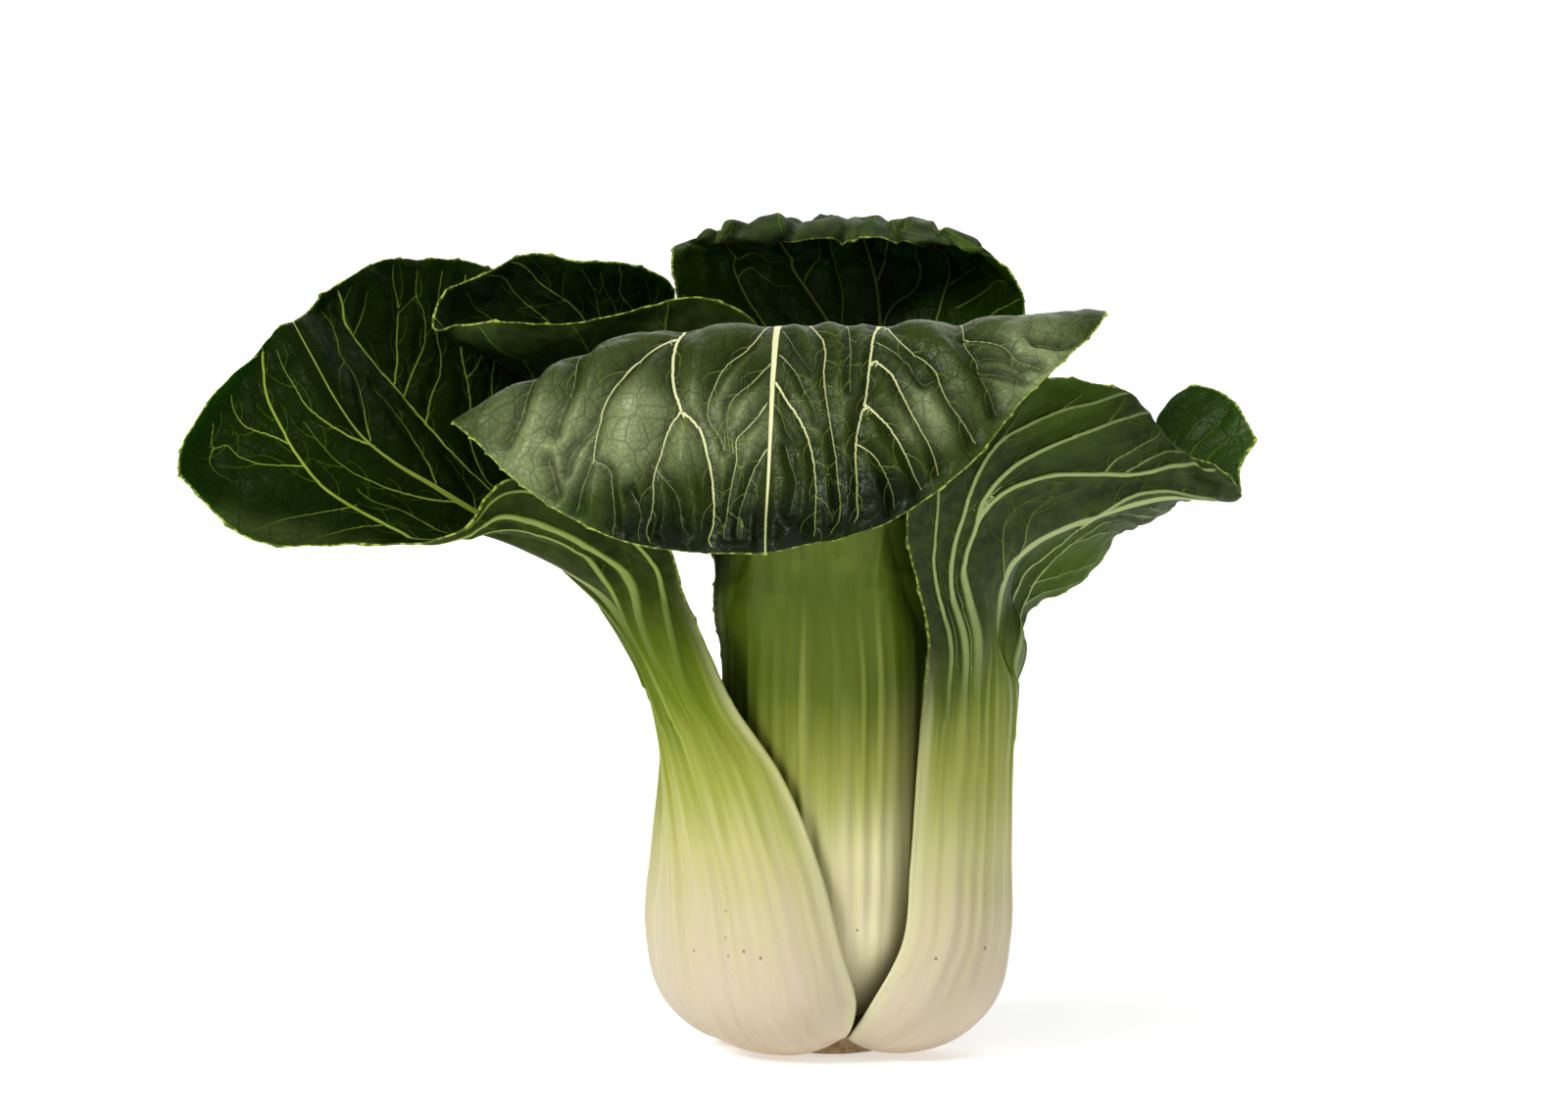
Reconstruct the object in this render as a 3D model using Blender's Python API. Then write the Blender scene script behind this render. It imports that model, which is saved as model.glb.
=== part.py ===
"""A head of bok choy standing on its cut base: a stem butt with leaves growing round it in
four rings, each leaf one solid from the foot of its pale stalk to the tip of its dark blade.

The origin is the centre of the cut base on the surface it stands on. X runs to the right and Y
away from the viewer as the head is photographed, and Z is up. Values are in millimetres here and
the solids are built in metres."""
import math

import bmesh
import bpy
import numpy as np

METRES = 0.001

LAMINA = 1.0          # thickness of a blade between its ribs
TIP_RIB = 0.3         # how much thicker the midrib still is at the tip
RIB_BELL = 2.4        # how flat-topped the stalk's cross-section is
STEP = 12.5           # longest step between rows along a leaf
STALK_RIB = 0.22      # height of the ribs along the back of a stalk
WAVE = 0.9            # height of the waves in the edge of a blade

# Rings of stalks: radius and height of the inner face, and thickness in the middle of the stalk.
LOW = [(10.4, 4.9, 4.0), (17, 4.6, 4.4), (24, 6.8, 5.4), (29.2, 13, 6.6), (31.2, 24, 7.0),
       (31.2, 40, 6.8)]
OUTER_LEFT = LOW + [(31.8, 58, 6.2), (35, 76, 5.2)]
OUTER_RIGHT = LOW + [(31.9, 58, 6.2), (33.6, 76, 5.4)]
OUTER_REAR = LOW + [(31.2, 58, 6.2), (31.5, 78, 5.2)]
OUTER_TUCKED = [(10.4, 4.9, 4.0), (17, 4.6, 4.4), (24.5, 6.8, 5.4), (30.4, 13, 6.0), (32.5, 24, 6.4),
                (31.4, 40, 6.2), (30.3, 58, 5.4), (30.5, 78, 4.8)]
MIDDLE = [(9.6, 10.5, 2.8), (14.5, 11, 3.4), (19.5, 14.5, 4.2), (23, 22, 5.2), (24, 34, 5.6),
          (24, 48, 5.4), (24, 63, 5.0), (24.5, 80, 4.4)]
INNER = [(7.9, 15.5, 2.0), (11, 16.2, 2.4), (14.2, 20, 3.0), (16.5, 28, 3.8), (17, 40, 4.0),
         (17, 54, 3.6), (17, 68, 3.2)]
HEART = [(5.0, 20.5, 1.6), (7.2, 22.5, 2.0), (8.8, 28, 2.4), (9.4, 38, 2.4), (9.4, 50, 2.2)]

# Half outline of the stem butt: radius and height.
BUTT = [(9.9, 0), (9.9, 4.9), (9, 6), (9, 11), (7.3, 12.5), (7.3, 16), (4.2, 18.5), (4.2, 21),
        (2.3, 23.5)]
BUTT_SIDES = 32


def unit(vectors):
    return vectors / np.linalg.norm(vectors, axis=-1, keepdims=True)


def row(middle, left, right, left_bulge, right_bulge):
    """A row across a blade: its midrib, its two edges, and how far each half bulges outward."""
    return [middle, left, right, left_bulge, right_bulge]


def even_rows(bearing, stations):
    """Rows for a blade that is alike on both sides, from radius and height of the midrib, half
    width, how far the edges stand inward and up, and the bulge of each half."""
    turn = math.radians(bearing)
    out = np.array([math.sin(turn), -math.cos(turn), 0])
    side = np.array([-math.cos(turn), -math.sin(turn), 0])
    rows = []
    for radius, height, half, inward, up, bulge in stations:
        middle = out * radius + (0, 0, height)
        shift = np.array([0, 0, up]) - out * inward
        rows.append(row(middle, middle + side * half + shift, middle - side * half + shift,
                        bulge, bulge))
    return rows


def stalk_points(profile, bearings, halves, tucks):
    """Five points across a stalk at each height of its ring, from its right edge to its left."""
    count = len(profile)
    turns = np.radians(np.broadcast_to(bearings, count))
    halves = np.array([h if isinstance(h, tuple) else (h, h) for h in halves], float)
    tucks = tucks if isinstance(tucks, tuple) else (tucks, tucks)
    bends = [np.broadcast_to(tuck, count) for tuck in tucks]
    points = np.zeros((count, 5, 3))
    for k, (radius, height, _) in enumerate(profile):
        out = np.array([math.sin(turns[k]), -math.cos(turns[k]), 0])
        side = np.array([-math.cos(turns[k]), -math.sin(turns[k]), 0])
        for slot, share in enumerate((-1, -0.5, 0, 0.5, 1)):
            left = share > 0
            reach = abs(share) * halves[k, 0 if left else 1]
            angle = reach * bends[0 if left else 1][k] / radius
            chord = reach * np.sinc(angle / 2 / math.pi)
            points[k, slot] = (out * (radius - chord * math.sin(angle / 2)) + (0, 0, height)
                               + side * math.copysign(chord * math.cos(angle / 2), share))
    return points


def blade_points(rows, foot):
    """Five points across a blade at each row; a bulge pushes the middle of a half outward."""
    spine = np.vstack([foot, [row[0] for row in rows]])
    along = unit(np.gradient(spine, axis=0))[1:]
    points = np.zeros((len(rows), 5, 3))
    for k, (middle, left, right, left_bulge, right_bulge) in enumerate(rows):
        middle = np.array(middle)
        points[k, 2] = middle
        for slot, edge, sign, bulge in ((3, left, 1, left_bulge), (1, right, -1, right_bulge)):
            edge = np.array(edge)
            outward = unit(np.cross(along[k], (edge - middle) * sign))
            points[k, slot] = (middle + edge) / 2 + outward * bulge
            points[k, 2 + 2 * sign] = edge
    return points


def curve(knots, values, places):
    """Values of a smooth curve through the knots at the given places."""
    flat = values.reshape(len(knots), -1)
    slopes = np.gradient(flat, knots, axis=0)
    places = np.clip(places, knots[0], knots[-1])
    k = np.clip(np.searchsorted(knots, places, side="right") - 1, 0, len(knots) - 2)
    gap = (knots[k + 1] - knots[k])[..., None]
    t = (places - knots[k])[..., None] / gap
    found = ((1 + 2 * t) * (1 - t) ** 2 * flat[k] + t * (1 - t) ** 2 * gap * slopes[k]
             + t * t * (3 - 2 * t) * flat[k + 1] - t * t * (1 - t) * gap * slopes[k + 1])
    return found.reshape(places.shape + values.shape[1:])


class Leaf:
    """A leaf as a smooth sheet through rows of five points, with a thickness that is greatest
    along the middle. Places on it are y, the distance up the leaf, and v, which runs from -1 at
    the right edge to 1 at the left edge, as seen from outside the head."""

    def __init__(self, profile, bearings, halves, tucks, rows, wave=WAVE, seed=0):
        stalk = stalk_points(profile, bearings, halves, tucks)
        self.points = np.vstack([stalk, blade_points(rows, stalk[-1, 2])])
        steps = np.linalg.norm(np.diff(self.points, axis=0), axis=2)[:, 1:4].mean(1)
        self.knots = np.concatenate([[0], np.cumsum(steps)])
        self.stalk_end = self.knots[len(stalk) - 1]
        across = np.linalg.norm(np.diff(self.points, axis=1), axis=2)
        self.halves = np.stack([across[:, 2:].sum(1), across[:, :2].sum(1)], 1)
        thick = np.array([station[2] for station in profile], float)
        share = np.linspace(0, 1, len(rows) + 1)[1:]
        self.middle_thickness = np.concatenate(
            [thick, LAMINA + TIP_RIB + (thick[-1] - LAMINA) * (1 - share) ** 1.6])
        width = self.halves[len(stalk) - 1].mean()
        self.rib_half = np.concatenate(
            [self.halves[:len(stalk)].mean(1), 2 + (width - 2) * (1 - share) ** 2.4])
        self.wave = wave
        self.seed = seed

    def sheet(self, y, v):
        rows = curve(self.knots, self.points, y)
        slopes = np.gradient(rows, 0.5, axis=-2)
        k = np.clip(((v + 1) * 2).astype(int), 0, 3)
        t = ((v + 1) * 2 - k)[..., None]
        low, high, low_slope, high_slope = (
            np.take_along_axis(table, index[..., None, None], -2)[..., 0, :]
            for table, index in ((rows, k), (rows, k + 1), (slopes, k), (slopes, k + 1)))
        return ((1 + 2 * t) * (1 - t) ** 2 * low + t * (1 - t) ** 2 * low_slope / 2
                + t * t * (3 - 2 * t) * high - t * t * (1 - t) * high_slope / 2)

    def normal(self, y, v):
        top = self.knots[-1]
        along = (self.sheet(np.clip(y + 0.3, 0, top), v) - self.sheet(np.clip(y - 0.3, 0, top), v))
        across = (self.sheet(y, np.clip(v + 0.01, -1, 1)) - self.sheet(y, np.clip(v - 0.01, -1, 1)))
        return unit(np.cross(across, along))

    def edge_wave(self, y, v):
        """Waves that grow towards the edge of the blade."""
        start = np.clip((y - self.stalk_end) / 25, 0, 1)
        shift = 1.7 * self.seed + np.where(v > 0, 0, 2.1)
        return self.wave * start * np.abs(v) ** 5 * (
            np.sin(y / 4.5 + shift) + 0.5 * np.sin(y / 2.9 + 2 * shift))

    def thickness(self, y, v):
        halves = curve(self.knots, self.halves, y)
        x = np.abs(v) * np.where(v > 0, halves[..., 0], halves[..., 1])
        bell = np.clip(1 - (x / curve(self.knots, self.rib_half, y)) ** RIB_BELL, 0, 1)
        middle = curve(self.knots, self.middle_thickness, y)
        ribs = np.clip((y - 25) / 30, 0, 1) * np.clip((self.stalk_end + 30 - y) / 30, 0, 1)
        return LAMINA + (middle - LAMINA) * bell + STALK_RIB * ribs * np.cos(6 * math.pi * v) * bell

    def faces(self, y, v):
        """The inner and outer face at the given places."""
        out = self.normal(y, v)
        middle = self.sheet(y, v) + out * self.edge_wave(y, v)[..., None]
        thick = self.thickness(y, v)[..., None]
        return middle + out * LAMINA / 2, middle - out * (thick - LAMINA / 2)

    def rows_along(self):
        """Row places: every knot, with the longer gaps between them split evenly."""
        places = [self.knots[0]]
        for low, high in zip(self.knots, self.knots[1:]):
            parts = max(1, math.ceil((high - low) / STEP))
            places.extend(low + (high - low) * np.arange(1, parts + 1) / parts)
        return np.array(places)


LEAVES = {
    "leaf_left": (Leaf(
        OUTER_LEFT, [-36, -36, -37, -38, -39, -44, -53, -64],
        [(7.4, 7.6), (12, 12), (17, 18.5), (22.5, 23.5), (23.5, 22.5), (21, 21), (17, 19),
         (14, 15.5)],
        ([0.9, 0.9, 0.66, 0.36, 0.28, 0.38, 0.6, 0.9], 0.95),
        [row((-37, -19, 87.5), (-39, -6, 83.5), (-30, -30, 95.5), 1, 2),
         row((-43.5, -22, 96), (-45.5, -3, 94.5), (-33.5, -36, 105), 2, 2),
         row((-52, -26, 102), (-50, 3, 108), (-48, -44, 116), 3, 4),
         row((-61, -29, 106.5), (-54.5, 8, 126), (-64, -49, 118), 4, 4),
         row((-70, -32, 111), (-58.5, 12, 142), (-73.5, -46, 108), 5, 3),
         row((-79, -33, 116.5), (-64.5, 16, 154.5), (-90.5, -42, 104), 5, 1),
         row((-87.5, -33, 121.5), (-74, 18, 160.5), (-113.5, -38, 105), 5, -1),
         row((-94, -32, 127), (-83.5, 13, 161.5), (-125, -33, 114), 4, -1),
         row((-99, -30, 134), (-92, 6, 161), (-129, -30, 119.5), 3, 0),
         row((-103.5, -26, 141.5), (-99, -2, 157), (-125.5, -27, 128), 2, 0),
         row((-108, -19, 148.5), (-103, -10, 154), (-115, -22, 141.5), 1, 0)], seed=1), 13),
    "leaf_front": (Leaf(
        MIDDLE, [-2, -2, -2, -3, -3, -4, -4, -4], [8.2, 11, 16, 19, 20.5, 22, 23, 23.5],
        [1, 1, 1, 0.95, 0.9, 0.85, 0.8, 0.8],
        [row((-3, -28, 96), (-24, -23, 92.5), (20.5, -20, 93.5), 3, 3),
         row((-4, -30, 109.5), (-25, -24, 104.5), (21.5, -21, 107.5), 4, 4),
         row((-5, -35, 123.5), (-43, -33, 117.5), (26, -24, 122), 4, 4),
         row((-7.5, -44, 137), (-61.5, -47, 126), (40.5, -33, 137), 0, 3),
         row((-11, -57, 148), (-73.5, -57, 129.5), (52.5, -46, 150.5), -6, 1),
         row((-12, -69, 140.5), (-69, -62, 126), (47, -58, 144.5), -5, -1),
         row((-12.5, -76, 130), (-62, -67, 119.5), (35.5, -66, 134), -4, -2),
         row((-13, -80, 119), (-50.5, -74, 112), (24, -74, 121), -3, -2),
         row((-13.5, -82, 110), (-37.5, -79, 107), (9.5, -79, 111.5), -2, -2),
         row((-13.5, -83, 105.5), (-25.5, -82, 105.5), (-1, -81, 108), -0.5, -0.5)], seed=2), 13),
    "leaf_right": (Leaf(
        OUTER_RIGHT, [50, 50, 52, 57, 62, 65, 66, 65],
        [7.6, 12, (17.8, 18), (21.5, 21), 20, (19.5, 19), (19.5, 18), (19.5, 18)], 0.95,
        [row((29, -17, 86.5), (18.5, -30, 87.5), (37, -2, 82), 3, 3),
         row((30, -19, 94.5), (16.5, -33, 96.5), (38.5, 1, 87), 3, 1),
         row((33, -23, 102), (14, -38, 107), (43, 5, 91), 3, -1),
         row((38.5, -27, 107), (16, -43, 120), (49, 7, 93.5), 3, -2),
         row((46, -30, 110.5), (26, -45, 131.5), (54, 7, 98.5), 4, -2),
         row((54, -31, 113), (40, -42, 137.5), (58.5, 7, 104.5), 4, -1),
         row((61, -30, 114.5), (51, -36, 136.5), (64, 8, 107.5), 4, 2),
         row((66.5, -28, 115), (59, -32, 134.5), (69, 14, 116), 3, 4),
         row((72, -25, 114.5), (63, -31, 128), (67.5, 18, 127.5), 2, 6),
         row((76, -21, 114), (68.5, -28, 123), (73.5, 13, 135), 1, 6),
         row((79.5, -17, 113.5), (75, -25, 120.5), (81, 4, 133), 1, 5),
         row((82, -13, 114), (79.5, -20, 117), (86, -5, 124.5), 0.5, 2)], seed=3), 13),
    "leaf_upper_left": (Leaf(
        OUTER_TUCKED, -100,
        [(6.3, 4), (10.5, 6.5), (14, 8.5), (16, 10), (16.5, 11.5), (16, 11.5), (14, 10), (12, 10.5)],
        ([1, 1, 1, 1.2, 1.2, 1.2, 1.3, 1.4], [1, 1, 1.3, 1.8, 1.8, 1.8, 1.6, 1.5]),
        [row((-39, 7, 92), (-35.5, 20, 93), (-35.5, -5, 92), 2, 2),
         row((-42, 7, 102), (-39.5, 22, 105.5), (-37.5, -8, 102.5), 3, 3),
         row((-45, 6, 114), (-40.5, 24, 119.5), (-37.5, -12, 115), 4, 4),
         row((-49.5, 5, 126), (-38.5, 26, 138), (-27.5, -15, 126.5), 5, 5),
         row((-55, 4, 134), (-34.5, 24, 156.5), (-15.5, -16, 148), 6, 5),
         row((-61, 2, 138), (-42.5, 20, 160.5), (-27.5, -16, 153.5), 6, 4),
         row((-67, 0, 141), (-52.5, 16, 161), (-40.5, -16, 150.5), 5, 4),
         row((-72, -2, 143.5), (-62.5, 12, 162.5), (-54, -15, 148.5), 5, 4),
         row((-77, -4, 145.5), (-72, 7, 158), (-69, -13, 148.5), 3, 3),
         row((-81, -5, 149.5), (-79, 1, 155), (-79.5, -9, 146.5), 1, 1)], seed=4), 13),
    "leaf_back_tall": (Leaf(
        INNER, 168, [8, 10, 13, 15, 15.5, 16, 16], 1.0,
        [row((6.5, 24, 93), (18.5, 14, 93.5), (-10, 16, 93.5), 2, 2),
         row((8, 29, 109), (26.5, 14, 111.5), (-15, 16, 111.5), 3, 3),
         row((9.5, 35, 127.5), (33.5, 10, 130), (-21, 14, 130), 4, 4),
         row((10.5, 40, 144), (39.5, 4, 146), (-27, 8, 144), 7, 7),
         row((9.5, 42, 156.5), (38, 0, 154.5), (-32, 2, 155), 8, 8),
         row((7, 40, 165.5), (34.5, 2, 160), (-33, 3, 162), 6, 6),
         row((5, 34, 169.5), (31.5, 8, 162.5), (-31.5, 8, 164.5), 1.5, 2.5),
         row((4.5, 27, 168), (28.5, 12, 163.5), (-27, 12, 164.5), 1, 1),
         row((4, 24, 165), (21.5, 16, 164.5), (-18, 17, 164.5), 0.5, 0.5)], seed=5), 13),
    "leaf_back_outer": (Leaf(
        OUTER_REAR, [182, 182, 182, 182, 182, 183, 184, 186],
        [7.6, 12, 18.2, 22.5, 22, 21, 20, 19], 0.95,
        even_rows(188, [(33, 92, 19, 4, 0, 3), (38, 106, 22, 5, 1, 3), (46, 118, 30, 8, 4, 3),
                        (58, 127, 38, 8, 8, 4), (72, 131, 43, 5, 11, 4), (86, 130, 42, 2, 12, 4),
                        (98, 126, 35, 0, 9, 4), (107, 119, 23, 0, 5, 2), (111, 113, 10, 1, 2, 1)]),
        seed=6), 11),
    "leaf_right_rear": (Leaf(
        MIDDLE, [112, 112, 112, 112, 112, 112, 113, 114], [8.2, 11, 16, 18.5, 19, 18, 16, 14], 1.0,
        even_rows(116, [(27, 92, 12.5, 2, 0, 1), (31, 103, 14, 3, 1, 2), (37, 113, 19, 5, 2, 3),
                        (45, 120, 23, 6, 3, 4), (54, 124, 24, 4, 4, 4), (62, 125, 20, 3, 3, 3),
                        (69, 123, 13, 0, 2, 2), (72, 121, 6, 0, 1, 1)]), seed=7), 11),
    "leaf_left_rear": (Leaf(
        MIDDLE, 214, [8.2, 11, 15, 16, 15, 13, 11, 9.5], 1.0,
        even_rows(210, [(25.5, 93, 9.5, 1, 0, 1), (28, 104, 12, 1, 0, 1), (33, 116, 16, 1, 1, 2),
                        (40, 128, 19, 2, 2, 3), (48, 138, 20, 2, 3, 4), (55, 145, 17, 1, 4, 3),
                        (61, 148, 12, 1, 2, 1), (63, 148, 6, 0, 1, 0)]), seed=8), 11),
    "leaf_inner_right": (Leaf(
        INNER, 50, [8, 10, 12.5, 13.5, 13.5, 13.5, 13], 1.0,
        even_rows(49, [(17.5, 82, 14, 4, 0, 1), (19, 95, 18.5, 8, 0, 2), (20, 107, 20.5, 10, 0, 3),
                       (21, 118, 20, 9, 0, 3), (21, 127, 15, 6, 0, 2), (20, 132, 7, 2, 0, 1)]),
        seed=9), 9),
    "leaf_inner_left": (Leaf(
        INNER, -72, [8, 10, 12.5, 13.5, 13.5, 13, 12.5], 1.0,
        even_rows(-72, [(17.5, 82, 13, 4, 0, 1), (18.5, 94, 17, 7, 0, 2), (19.5, 105, 19, 9, 0, 3),
                        (20, 115, 17, 8, 0, 3), (19.5, 123, 12, 5, 0, 2), (18.5, 127, 6, 2, 0, 1)]),
        seed=10), 9),
    "heart_leaf_tall": (Leaf(
        HEART, 105, [4.5, 6, 7.5, 8, 8], 1.0,
        even_rows(103, [(10, 62, 8, 3, 0, 1), (11, 74, 9.5, 6, 0, 2), (11.5, 85, 10.5, 6, 0, 2),
                        (11.5, 94, 9, 5, 0, 2), (10.5, 100, 5, 3, 0, 1)]), wave=0.3, seed=11), 7),
    "heart_leaf_middle": (Leaf(
        HEART, 228, [4.5, 6, 7.5, 7.8, 7.8], 1.0,
        even_rows(228, [(9.8, 60, 8, 3, 0, 1), (10.6, 70, 9, 5, 0, 2), (11, 80, 9, 5, 0, 2),
                        (10.6, 88, 7.5, 4, 0, 2), (10, 93, 4, 2, 0, 1)]), wave=0.3, seed=12), 7),
    "heart_leaf_short": (Leaf(
        HEART, -15, [4.5, 6, 7.5, 7.8, 7.8], 1.0,
        even_rows(-15, [(9.6, 58, 7.8, 3, 0, 1), (10.3, 66, 8, 4, 0, 2), (10.4, 74, 8, 4, 0, 2),
                        (9.8, 81, 5, 3, 0, 1)]), wave=0.3, seed=13), 7),
}

ROUGHNESS = 0.4
COLOURS = {
    "leaf": (0.09, 0.17, 0.045, 1),
    "inner": (0.25, 0.38, 0.09, 1),
    "heart": (0.62, 0.68, 0.28, 1),
    "stem": (0.66, 0.58, 0.36, 1),
}


def add_object(name, work, colour):
    """An object of its own from a bmesh, with a material of its own."""
    bmesh.ops.recalc_face_normals(work, faces=work.faces[:])
    mesh = bpy.data.meshes.new(name)
    work.to_mesh(mesh)
    work.free()
    mesh.shade_smooth()
    material = bpy.data.materials.new(name)
    material.use_nodes = True
    shader = material.node_tree.nodes["Principled BSDF"]
    shader.inputs["Base Color"].default_value = colour
    shader.inputs["Roughness"].default_value = ROUGHNESS
    mesh.materials.append(material)
    bpy.context.scene.collection.objects.link(bpy.data.objects.new(name, mesh))


def build_leaf(name, leaf, columns, colour):
    """Both faces of the leaf, cut along the same diagonals, and a rim all round."""
    places = leaf.rows_along()
    rows = len(places)
    y, v = np.meshgrid(places, np.linspace(-1, 1, columns), indexing="ij")
    inner, outer = leaf.faces(y, v)
    work = bmesh.new()
    inner, outer = ([[work.verts.new(point * METRES) for point in line] for line in face]
                    for face in (inner, outer))

    def quad(a, b, c, d):
        work.faces.new((a, b, c))
        work.faces.new((a, c, d))

    for i in range(rows - 1):
        for j in range(columns - 1):
            for face in (inner, outer):
                quad(face[i][j], face[i][j + 1], face[i + 1][j + 1], face[i + 1][j])
        for j in (0, columns - 1):
            quad(inner[i][j], inner[i + 1][j], outer[i + 1][j], outer[i][j])
    for j in range(columns - 1):
        for i in (0, rows - 1):
            quad(inner[i][j], inner[i][j + 1], outer[i][j + 1], outer[i][j])
    add_object(name, work, colour)


def build_butt():
    """The short stem that the leaves grow from, turned about the head's axis."""
    work = bmesh.new()
    corners = [work.verts.new((radius * METRES, 0, height * METRES)) for radius, height in BUTT]
    edges = [work.edges.new(pair) for pair in zip(corners, corners[1:])]
    bmesh.ops.spin(work, geom=corners + edges, axis=(0, 0, 1), angle=2 * math.pi,
                   steps=BUTT_SIDES, use_merge=True)
    bmesh.ops.holes_fill(work, edges=work.edges[:])
    add_object("stem_butt", work, COLOURS["stem"])


def main():
    for item in list(bpy.data.objects):
        bpy.data.objects.remove(item)
    build_butt()
    for name, (leaf, columns) in LEAVES.items():
        kind = "heart" if name.startswith("heart") else "inner" if "inner" in name else "leaf"
        build_leaf(name, leaf, columns, COLOURS[kind])


main()
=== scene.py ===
"""A head of bok choy on a pale floor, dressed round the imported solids: every leaf is grown again
on its own solid's sheet with veins, quilting, ribs, teeth and colour, and the stem butt is turned
again with its cut face. Shapes are in millimetres and the meshes are made in metres."""
import math

import bpy
import numpy as np
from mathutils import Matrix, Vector, kdtree


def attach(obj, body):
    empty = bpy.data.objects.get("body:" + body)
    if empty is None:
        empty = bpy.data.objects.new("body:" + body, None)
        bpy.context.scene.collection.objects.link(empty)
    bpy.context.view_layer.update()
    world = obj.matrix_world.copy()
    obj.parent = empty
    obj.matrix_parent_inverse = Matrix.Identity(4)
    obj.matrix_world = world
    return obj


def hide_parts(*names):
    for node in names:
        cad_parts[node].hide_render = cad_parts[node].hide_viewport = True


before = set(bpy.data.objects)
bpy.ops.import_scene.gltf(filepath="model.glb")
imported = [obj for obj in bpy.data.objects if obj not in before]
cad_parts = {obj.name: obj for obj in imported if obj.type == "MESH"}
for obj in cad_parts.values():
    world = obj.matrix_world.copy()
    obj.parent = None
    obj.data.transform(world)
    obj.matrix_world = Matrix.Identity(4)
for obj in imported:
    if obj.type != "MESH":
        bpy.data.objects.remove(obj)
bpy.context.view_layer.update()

METRES = 0.001

# The sheets that the solids use, with the same numbers as in part.py.

LAMINA = 1.0          # thickness of a solid's blade between its ribs
TIP_RIB = 0.3         # how much thicker the midrib still is at the tip
RIB_BELL = 2.4        # how flat-topped the stalk's cross-section is
WAVE = 0.9            # height of the waves in the edge of a blade

# Rings of stalks: radius and height of the inner face, and thickness in the middle of the stalk.
LOW = [(10.4, 4.9, 4.0), (17, 4.6, 4.4), (24, 6.8, 5.4), (29.2, 13, 6.6), (31.2, 24, 7.0),
       (31.2, 40, 6.8)]
OUTER_LEFT = LOW + [(31.8, 58, 6.2), (35, 76, 5.2)]
OUTER_RIGHT = LOW + [(31.9, 58, 6.2), (33.6, 76, 5.4)]
OUTER_REAR = LOW + [(31.2, 58, 6.2), (31.5, 78, 5.2)]
OUTER_TUCKED = [(10.4, 4.9, 4.0), (17, 4.6, 4.4), (24.5, 6.8, 5.4), (30.4, 13, 6.0), (32.5, 24, 6.4),
                (31.4, 40, 6.2), (30.3, 58, 5.4), (30.5, 78, 4.8)]
MIDDLE = [(9.6, 10.5, 2.8), (14.5, 11, 3.4), (19.5, 14.5, 4.2), (23, 22, 5.2), (24, 34, 5.6),
          (24, 48, 5.4), (24, 63, 5.0), (24.5, 80, 4.4)]
INNER = [(7.9, 15.5, 2.0), (11, 16.2, 2.4), (14.2, 20, 3.0), (16.5, 28, 3.8), (17, 40, 4.0),
         (17, 54, 3.6), (17, 68, 3.2)]
HEART = [(5.0, 20.5, 1.6), (7.2, 22.5, 2.0), (8.8, 28, 2.4), (9.4, 38, 2.4), (9.4, 50, 2.2)]

# Half outline of the stem butt: radius and height.
BUTT = [(9.9, 0), (9.9, 4.9), (9, 6), (9, 11), (7.3, 12.5), (7.3, 16), (4.2, 18.5), (4.2, 21),
        (2.3, 23.5)]


def unit(vectors):
    return vectors / np.linalg.norm(vectors, axis=-1, keepdims=True)


def flat(*parts):
    """The parts side by side, one row for each place of a grid."""
    return np.stack(parts, -1).reshape(-1, len(parts))


def row(middle, left, right, left_bulge, right_bulge):
    """A row across a blade: its midrib, its two edges, and how far each half bulges outward."""
    return [middle, left, right, left_bulge, right_bulge]


def even_rows(bearing, stations):
    """Rows for a blade that is alike on both sides, from radius and height of the midrib, half
    width, how far the edges stand inward and up, and the bulge of each half."""
    turn = math.radians(bearing)
    out = np.array([math.sin(turn), -math.cos(turn), 0])
    side = np.array([-math.cos(turn), -math.sin(turn), 0])
    rows = []
    for radius, height, half, inward, up, bulge in stations:
        middle = out * radius + (0, 0, height)
        shift = np.array([0, 0, up]) - out * inward
        rows.append(row(middle, middle + side * half + shift, middle - side * half + shift,
                        bulge, bulge))
    return rows


def stalk_points(profile, bearings, halves, tucks):
    """Five points across a stalk at each height of its ring, from its right edge to its left."""
    count = len(profile)
    turns = np.radians(np.broadcast_to(bearings, count))
    halves = np.array([h if isinstance(h, tuple) else (h, h) for h in halves], float)
    tucks = tucks if isinstance(tucks, tuple) else (tucks, tucks)
    bends = [np.broadcast_to(tuck, count) for tuck in tucks]
    points = np.zeros((count, 5, 3))
    for k, (radius, height, _) in enumerate(profile):
        out = np.array([math.sin(turns[k]), -math.cos(turns[k]), 0])
        side = np.array([-math.cos(turns[k]), -math.sin(turns[k]), 0])
        for slot, share in enumerate((-1, -0.5, 0, 0.5, 1)):
            left = share > 0
            reach = abs(share) * halves[k, 0 if left else 1]
            angle = reach * bends[0 if left else 1][k] / radius
            chord = reach * np.sinc(angle / 2 / math.pi)
            points[k, slot] = (out * (radius - chord * math.sin(angle / 2)) + (0, 0, height)
                               + side * math.copysign(chord * math.cos(angle / 2), share))
    return points


def blade_points(rows, foot):
    """Five points across a blade at each row; a bulge pushes the middle of a half outward."""
    spine = np.vstack([foot, [row[0] for row in rows]])
    along = unit(np.gradient(spine, axis=0))[1:]
    points = np.zeros((len(rows), 5, 3))
    for k, (middle, left, right, left_bulge, right_bulge) in enumerate(rows):
        middle = np.array(middle)
        points[k, 2] = middle
        for slot, edge, sign, bulge in ((3, left, 1, left_bulge), (1, right, -1, right_bulge)):
            edge = np.array(edge)
            outward = unit(np.cross(along[k], (edge - middle) * sign))
            points[k, slot] = (middle + edge) / 2 + outward * bulge
            points[k, 2 + 2 * sign] = edge
    return points


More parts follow.
